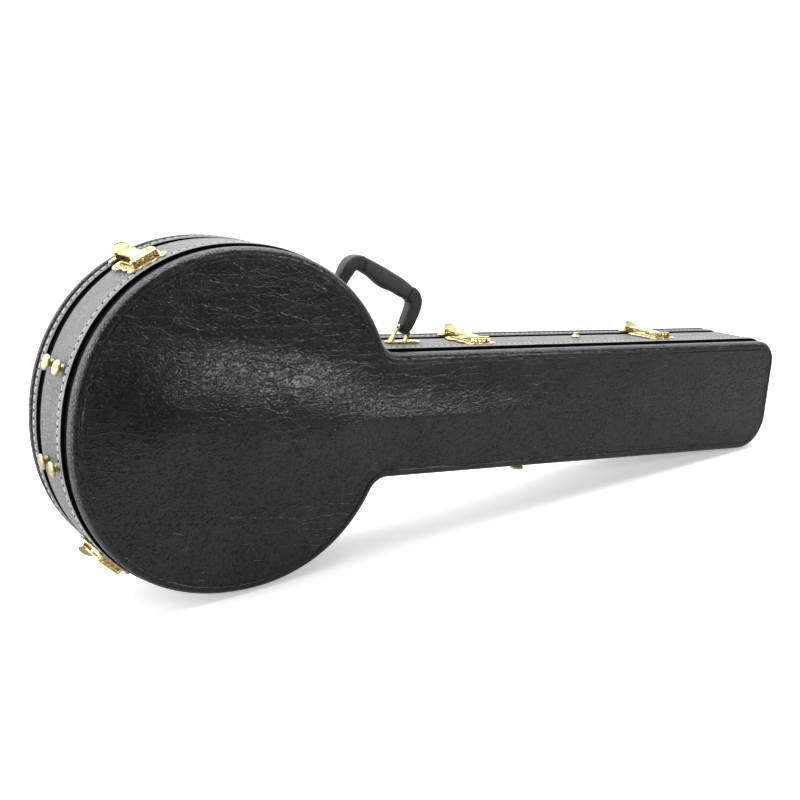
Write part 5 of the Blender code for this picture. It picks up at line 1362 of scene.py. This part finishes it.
def cradle_loop(x0, top, notch_w, notch_y):
    half = neck_half(x0) - WALL - PAD - 0.0012
    loop = [(-half, FLOOR_Y), (half, FLOOR_Y), (half, top - 0.004), (half - 0.004, top), (notch_w / 2 + 0.004, top), (notch_w / 2, top - 0.004)]
    r = min(notch_w / 2, 0.018)
    for i in range(6):
        a = math.radians(-90 * i / 5)
        loop.append((notch_w / 2 - r + r * math.cos(a), notch_y + r + r * math.sin(a)))
    for i in range(6):
        a = math.radians(-90 - 90 * i / 5)
        loop.append((-notch_w / 2 + r + r * math.cos(a), notch_y + r + r * math.sin(a)))
    return loop + [(-notch_w / 2, top - 0.004), (-notch_w / 2 - 0.004, top), (-half + 0.004, top), (-half, top - 0.004)]


pad_block("Neck_Cradle_Near", cradle_loop(ACC_X[0] - 0.016, 0.060, 0.062, 0.038), ACC_X[0] - 0.016, ACC_X[0], 0.0030, "shell", "neck_cradle_near", M_PLUSH2, 3)
pad_block("Neck_Cradle_Far", cradle_loop(ACC_X[1], 0.060, 0.056, 0.040), ACC_X[1], ACC_X[1] + 0.016, 0.0030, "shell", "neck_cradle_far", M_PLUSH2, 4)
pad_block("Headstock_Block", cradle_loop(0.735, 0.040, 0.080, 0.022), 0.735, 0.765, 0.0040, "shell", "headstock_block", M_PLUSH2, 6)

# lid's neck pad: crowned cushion with a seam round it
pad_loop = []
for sx, sz, a0 in ((1, 1, 0), (-1, 1, 90), (-1, -1, 180), (1, -1, 270)):
    for i in range(7):
        a = math.radians(a0 + 15 * i)
        pad_loop.append((0.400 + sx * 0.020 + 0.010 * math.cos(a), sz * 0.038 + 0.010 * math.sin(a)))
pad_y0, pad_y1 = SEAM_Y + 0.0085, 0.1115 - 0.0060 - 0.0016
depth = pad_y1 - pad_y0
steps = [(0.0012, 0.0), (0.0, 0.0015), (0.0, depth * 0.45), (0.0007, depth * 0.52), (0.0002, depth * 0.60), (0.0012, depth * 0.80), (0.0040, depth * 0.93), (0.0100, depth * 0.985), (0.0160, depth)]
verts, faces = plate(pad_loop, steps)
verts = [(x, pad_y1 - z, y) for x, y, z in verts]
piece("Lid_Neck_Pad", finish_mesh("Lid_Neck_Pad", verts, faces, M_PLUSH2, 0), "lid", ["lid_neck_pad"])

# flap of the accessory compartment: padded board rolled round its rod, with a pull tab
ACC_HINGE = (0.0300, -0.0555)
half_len = (ACC_X[1] - ACC_X[0]) / 2 - 0.0010
sec = [(0.0038, 0.0040), (0.0046, 0.0200), (0.0047, 0.0600), (0.0044, 0.1000), (0.0036, 0.1115), (0.0026, 0.1136), (0.0012, 0.1140), (-0.0004, 0.1136), (-0.0012, 0.1110), (-0.0014, 0.0600), (-0.0013, 0.0045)]
for i in range(11):
    a = math.radians(110 + 245 * i / 10)
    sec.append((0.0038 * math.cos(a), 0.0038 * math.sin(a)))
sec = spline(sec, 3)
xs = np.concatenate([[-half_len, -half_len + 0.0004, -half_len + 0.0016], np.linspace(-half_len + 0.006, half_len - 0.006, 13), [half_len - 0.0016, half_len - 0.0004, half_len]])
shrink = np.array([0.0011, 0.0004, 0.0] + [0.0] * 13 + [0.0, 0.0004, 0.0011])
cx = (ACC_X[0] + ACC_X[1]) / 2
sec = ccw(sec)
rings = []
for x, d in zip(xs, shrink):
    ring = inset(sec, d)
    soft = 0.0007 * (vnoise(ring[:, 1] / 0.018, np.full(len(ring), x / 0.018), 71) - 0.5) * (ring[:, 1] > 0.01)
    rings.append(np.stack([np.full(len(ring), cx + x), ACC_HINGE[0] + ring[:, 0] + soft, ACC_HINGE[1] + ring[:, 1]], 1))
verts = np.concatenate(rings)
m = len(sec)
faces = [tuple(f) for f in grid_faces(len(rings), m, False, True)]
for base in (0, (len(rings) - 1) * m):
    tris = tessellate_polygon([[Vector((v[1], v[2], 0)) for v in verts[base:base + m]]])
    faces += [tuple(base + i for i in t) for t in tris]
piece("Accessory_Flap", finish_mesh("Accessory_Flap", verts, faces, M_PLUSH2, 60.0), "accessory_flap", ["accessory_lid"])

# ribbon pull: a folded loop sewn near the flap's free edge
rows = []
path = [(0.0050, 0.0900), (0.0052, 0.0980), (0.0054, 0.1060), (0.0054, 0.1120), (0.0050, 0.1138), (0.0058, 0.1146), (0.0066, 0.1130), (0.0062, 0.1060), (0.0060, 0.0980), (0.0058, 0.0905)]
path = spline(path, 3, closed=False)
fx = np.repeat(np.linspace(-0.0085, 0.0085, 9)[None], len(path), 0)
v_top = np.array([[(cx + x, ACC_HINGE[0] + a + 0.00025, ACC_HINGE[1] + b) for x in fx[0]] for a, b in path]).reshape(-1, 3)
v_low = v_top - np.array([0, 0.0005, 0])
verts = np.concatenate([v_top, v_low])
f = [tuple(q) for q in grid_faces(len(path), 9)]
mm = len(v_top)
faces = f + [tuple(i + mm for i in reversed(q)) for q in f]
ids = [c for c in range(9)] + [r * 9 + 8 for r in range(1, len(path))] + [(len(path) - 1) * 9 + c for c in range(7, -1, -1)] + [r * 9 for r in range(len(path) - 2, 0, -1)]
faces += [(ids[i], ids[(i + 1) % len(ids)], ids[(i + 1) % len(ids)] + mm, ids[i] + mm) for i in range(len(ids))]
piece("Accessory_Pull", finish_mesh("Accessory_Pull", verts, faces, M_RIBBON, 0), "accessory_flap", ["accessory_tab"])

# stay ribbon: drawn fixed as the V it hangs in when the case is shut; it does not follow the lid, whose limit is where
# the real ribbon pulls straight
RIB_X = CT[0] - (0.1905 - WALL - PAD) + 0.0060
hinge_y, hinge_z = HINGE_POS.y, HINGE_POS.z
anchor_r = CT[2] + 0.033 - hinge_z
y_a, y_b = -0.0180, 0.0130
count = 41
verts = []
for side_x in (0.00045, -0.00045):
    for i in range(count):
        t = i / (count - 1)
        w = t * t * (3 - 2 * t)
        r = anchor_r * math.cos(math.pi / 4) / math.cos(math.pi / 4 * (2 * w - 1))
        for across in np.linspace(-0.0065, 0.0065, 5):
            verts.append((RIB_X + side_x, hinge_y + y_a + (y_b - y_a) * t, hinge_z + r + across))
g = [tuple(q) for q in grid_faces(count, 5)]
mm = count * 5
faces = g + [tuple(i + mm for i in reversed(q)) for q in g]
ids = [c for c in range(5)] + [r * 5 + 4 for r in range(1, count)] + [(count - 1) * 5 + c for c in range(3, -1, -1)] + [r * 5 for r in range(count - 2, 0, -1)]
faces += [(ids[i], ids[(i + 1) % len(ids)], ids[(i + 1) % len(ids)] + mm, ids[i] + mm) for i in range(len(ids))]
ribbon = piece("Stay_Ribbon", finish_mesh("Stay_Ribbon", verts, faces, M_RIBBON, 0, case_frame=False), None, ["stay_ribbon"])
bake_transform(ribbon)

# ---------------------------------------------------------------- CAD nodes that stay as they are
for name, obj in frame["nodes"].items():
    if obj.hide_render:
        continue
    mat = M_GOLD_HINGE if name.startswith("hinge_") and "pin" not in name else M_STEEL
    if not obj.data.materials:
        obj.data.materials.append(mat)
    for slot in obj.material_slots:
        slot.material = mat
    bevel = obj.modifiers.new("edge", "BEVEL")
    bevel.width = 0.00012
    bevel.segments = 2
    bevel.limit_method = "ANGLE"

# ---------------------------------------------------------------- stage, light, camera
def stage_floor():
    """Pale floor. Its near side is mirrored darker, as if a black card lay in front of the case."""
    verts, faces = [], []
    prof = [(y, 0.0) for y in (-4.0, -1.0, 0.6, 2.2, 5.0, 9.0)]
    for y, z in prof:
        for x in (-9.0, -1.0, 1.0, 9.0):
            verts.append((x, y, z))
    faces = grid_faces(len(prof), 4)
    mesh = bpy.data.meshes.new("Stage_Floor")
    mesh.from_pydata(verts, [], [tuple(q) for q in faces])
    mesh.polygons.foreach_set("use_smooth", [True] * len(mesh.polygons))
    mat, nt, bsdf = tree("stage_white")
    n = Nodes(nt)
    where = n.put("ShaderNodeSeparateXYZ", Vector=n.coords(rotate=False))
    tone = n.ramp(n.noise(n.coords(rotate=False), 1.3, 2.0), 0.3, 0.7, 0.90, 0.93)
    path = n.put("ShaderNodeLightPath")
    front = n.ramp(where.outputs["Y"], -0.95, -0.25, 0.06, 0.40)
    aside = n.math("MULTIPLY", n.ramp(where.outputs["X"], -2.2, -1.0, 0.95, 0.0), n.ramp(where.outputs["Y"], -1.6, -0.7))
    front = n.math("MAXIMUM", front, aside)
    tone = n.math("MULTIPLY", tone, n.math("ADD", n.math("MULTIPLY", path.outputs["Is Glossy Ray"], n.math("SUBTRACT", front, 1.0)), 1.0))
    comb = n.put("ShaderNodeCombineColor")
    for k in range(3):
        nt.links.new(tone, comb.inputs[k])
    nt.links.new(comb.outputs[0], bsdf.inputs["Base Color"])
    nt.links.new(comb.outputs[0], bsdf.inputs["Emission Color"])
    bsdf.inputs["Emission Strength"].default_value = 0.40
    bsdf.inputs["Roughness"].default_value = 0.7
    bsdf.inputs["Specular IOR Level"].default_value = 0.1
    mesh.materials.append(mat)
    obj = bpy.data.objects.new("Stage_Floor", mesh)
    bpy.context.scene.collection.objects.link(obj)
    return obj


floor = stage_floor()
# the lid swings below the standing line, so the stage sinks as it opens
drive = floor.driver_add("location", 2).driver
drive.type = "SCRIPTED"
var = drive.variables.new()
var.name = "turn"
var.type = "TRANSFORMS"
var.targets[0].id = frame["bodies"]["lid"]
var.targets[0].transform_type = "ROT_X"
var.targets[0].transform_space = "WORLD_SPACE"
drive.expression = "-0.052 * sin(min(abs(turn), 1.5708))"


def softbox(name, at, target, size, power, colour=(1, 1, 1)):
    data = bpy.data.lights.new(name, "AREA")
    data.shape = "RECTANGLE"
    data.size, data.size_y = size
    data.energy = power
    data.color = colour
    obj = bpy.data.objects.new(name, data)
    bpy.context.scene.collection.objects.link(obj)
    obj.location = at
    obj.rotation_euler = (Vector(target) - Vector(at)).to_track_quat("-Z", "Y").to_euler()
    return obj


softbox("Top_Softbox", (0.2, 0.3, 2.6), (0, 0, 0.1), (3.0, 2.6), 90)
softbox("Edge_Softbox", (-2.5, -1.25, 0.62), (-0.4, 0, 0.2), (1.0, 1.0), 13)
softbox("Left_Softbox", (-2.6, 0.9, 0.9), (-0.4, 0, 0.2), (2.0, 1.8), 45)
softbox("Vault_Softbox", (1.17, -1.72, 0.75), (-0.24, -0.07, 0.24), (0.90, 0.26), 15)

world = bpy.data.worlds.new("Studio")
bpy.context.scene.world = world
world.use_nodes = True
nt = world.node_tree
nt.nodes.clear()
n = Nodes(nt)
tc = n.put("ShaderNodeTexCoord")
sep = n.put("ShaderNodeSeparateXYZ", Vector=tc.outputs["Generated"])
toward = n.ramp(sep.outputs["Y"], -0.45, 0.35, 0.14, 1.8)
left = n.ramp(sep.outputs["X"], -0.6, 0.6, 1.1, 0.9)
strength = n.math("MULTIPLY", toward, left)
bg = n.put("ShaderNodeBackground", Color=(1, 1, 1, 1), Strength=strength)
outn = n.put("ShaderNodeOutputWorld", Surface=bg.outputs[0])

CAM_R = ((0.82025, -0.56574, 0.08442), (0.03974, 0.20358, 0.97825), (-0.57063, -0.79905, 0.18947))
cam_data = bpy.data.cameras.new("Camera")
cam_data.sensor_width = 36.0
cam_data.lens = 50.84
cam_data.clip_start = 0.01
cam = bpy.data.objects.new("Camera", cam_data)
bpy.context.scene.collection.objects.link(cam)
turn = Matrix(CAM_R).transposed().to_4x4()
turn.translation = (-0.54727, -1.05594, 0.26687)
cam.matrix_world = CASE @ turn
bpy.context.scene.camera = cam
bpy.context.scene.view_settings.view_transform = "Standard"
bpy.context.scene.view_settings.look = "None"
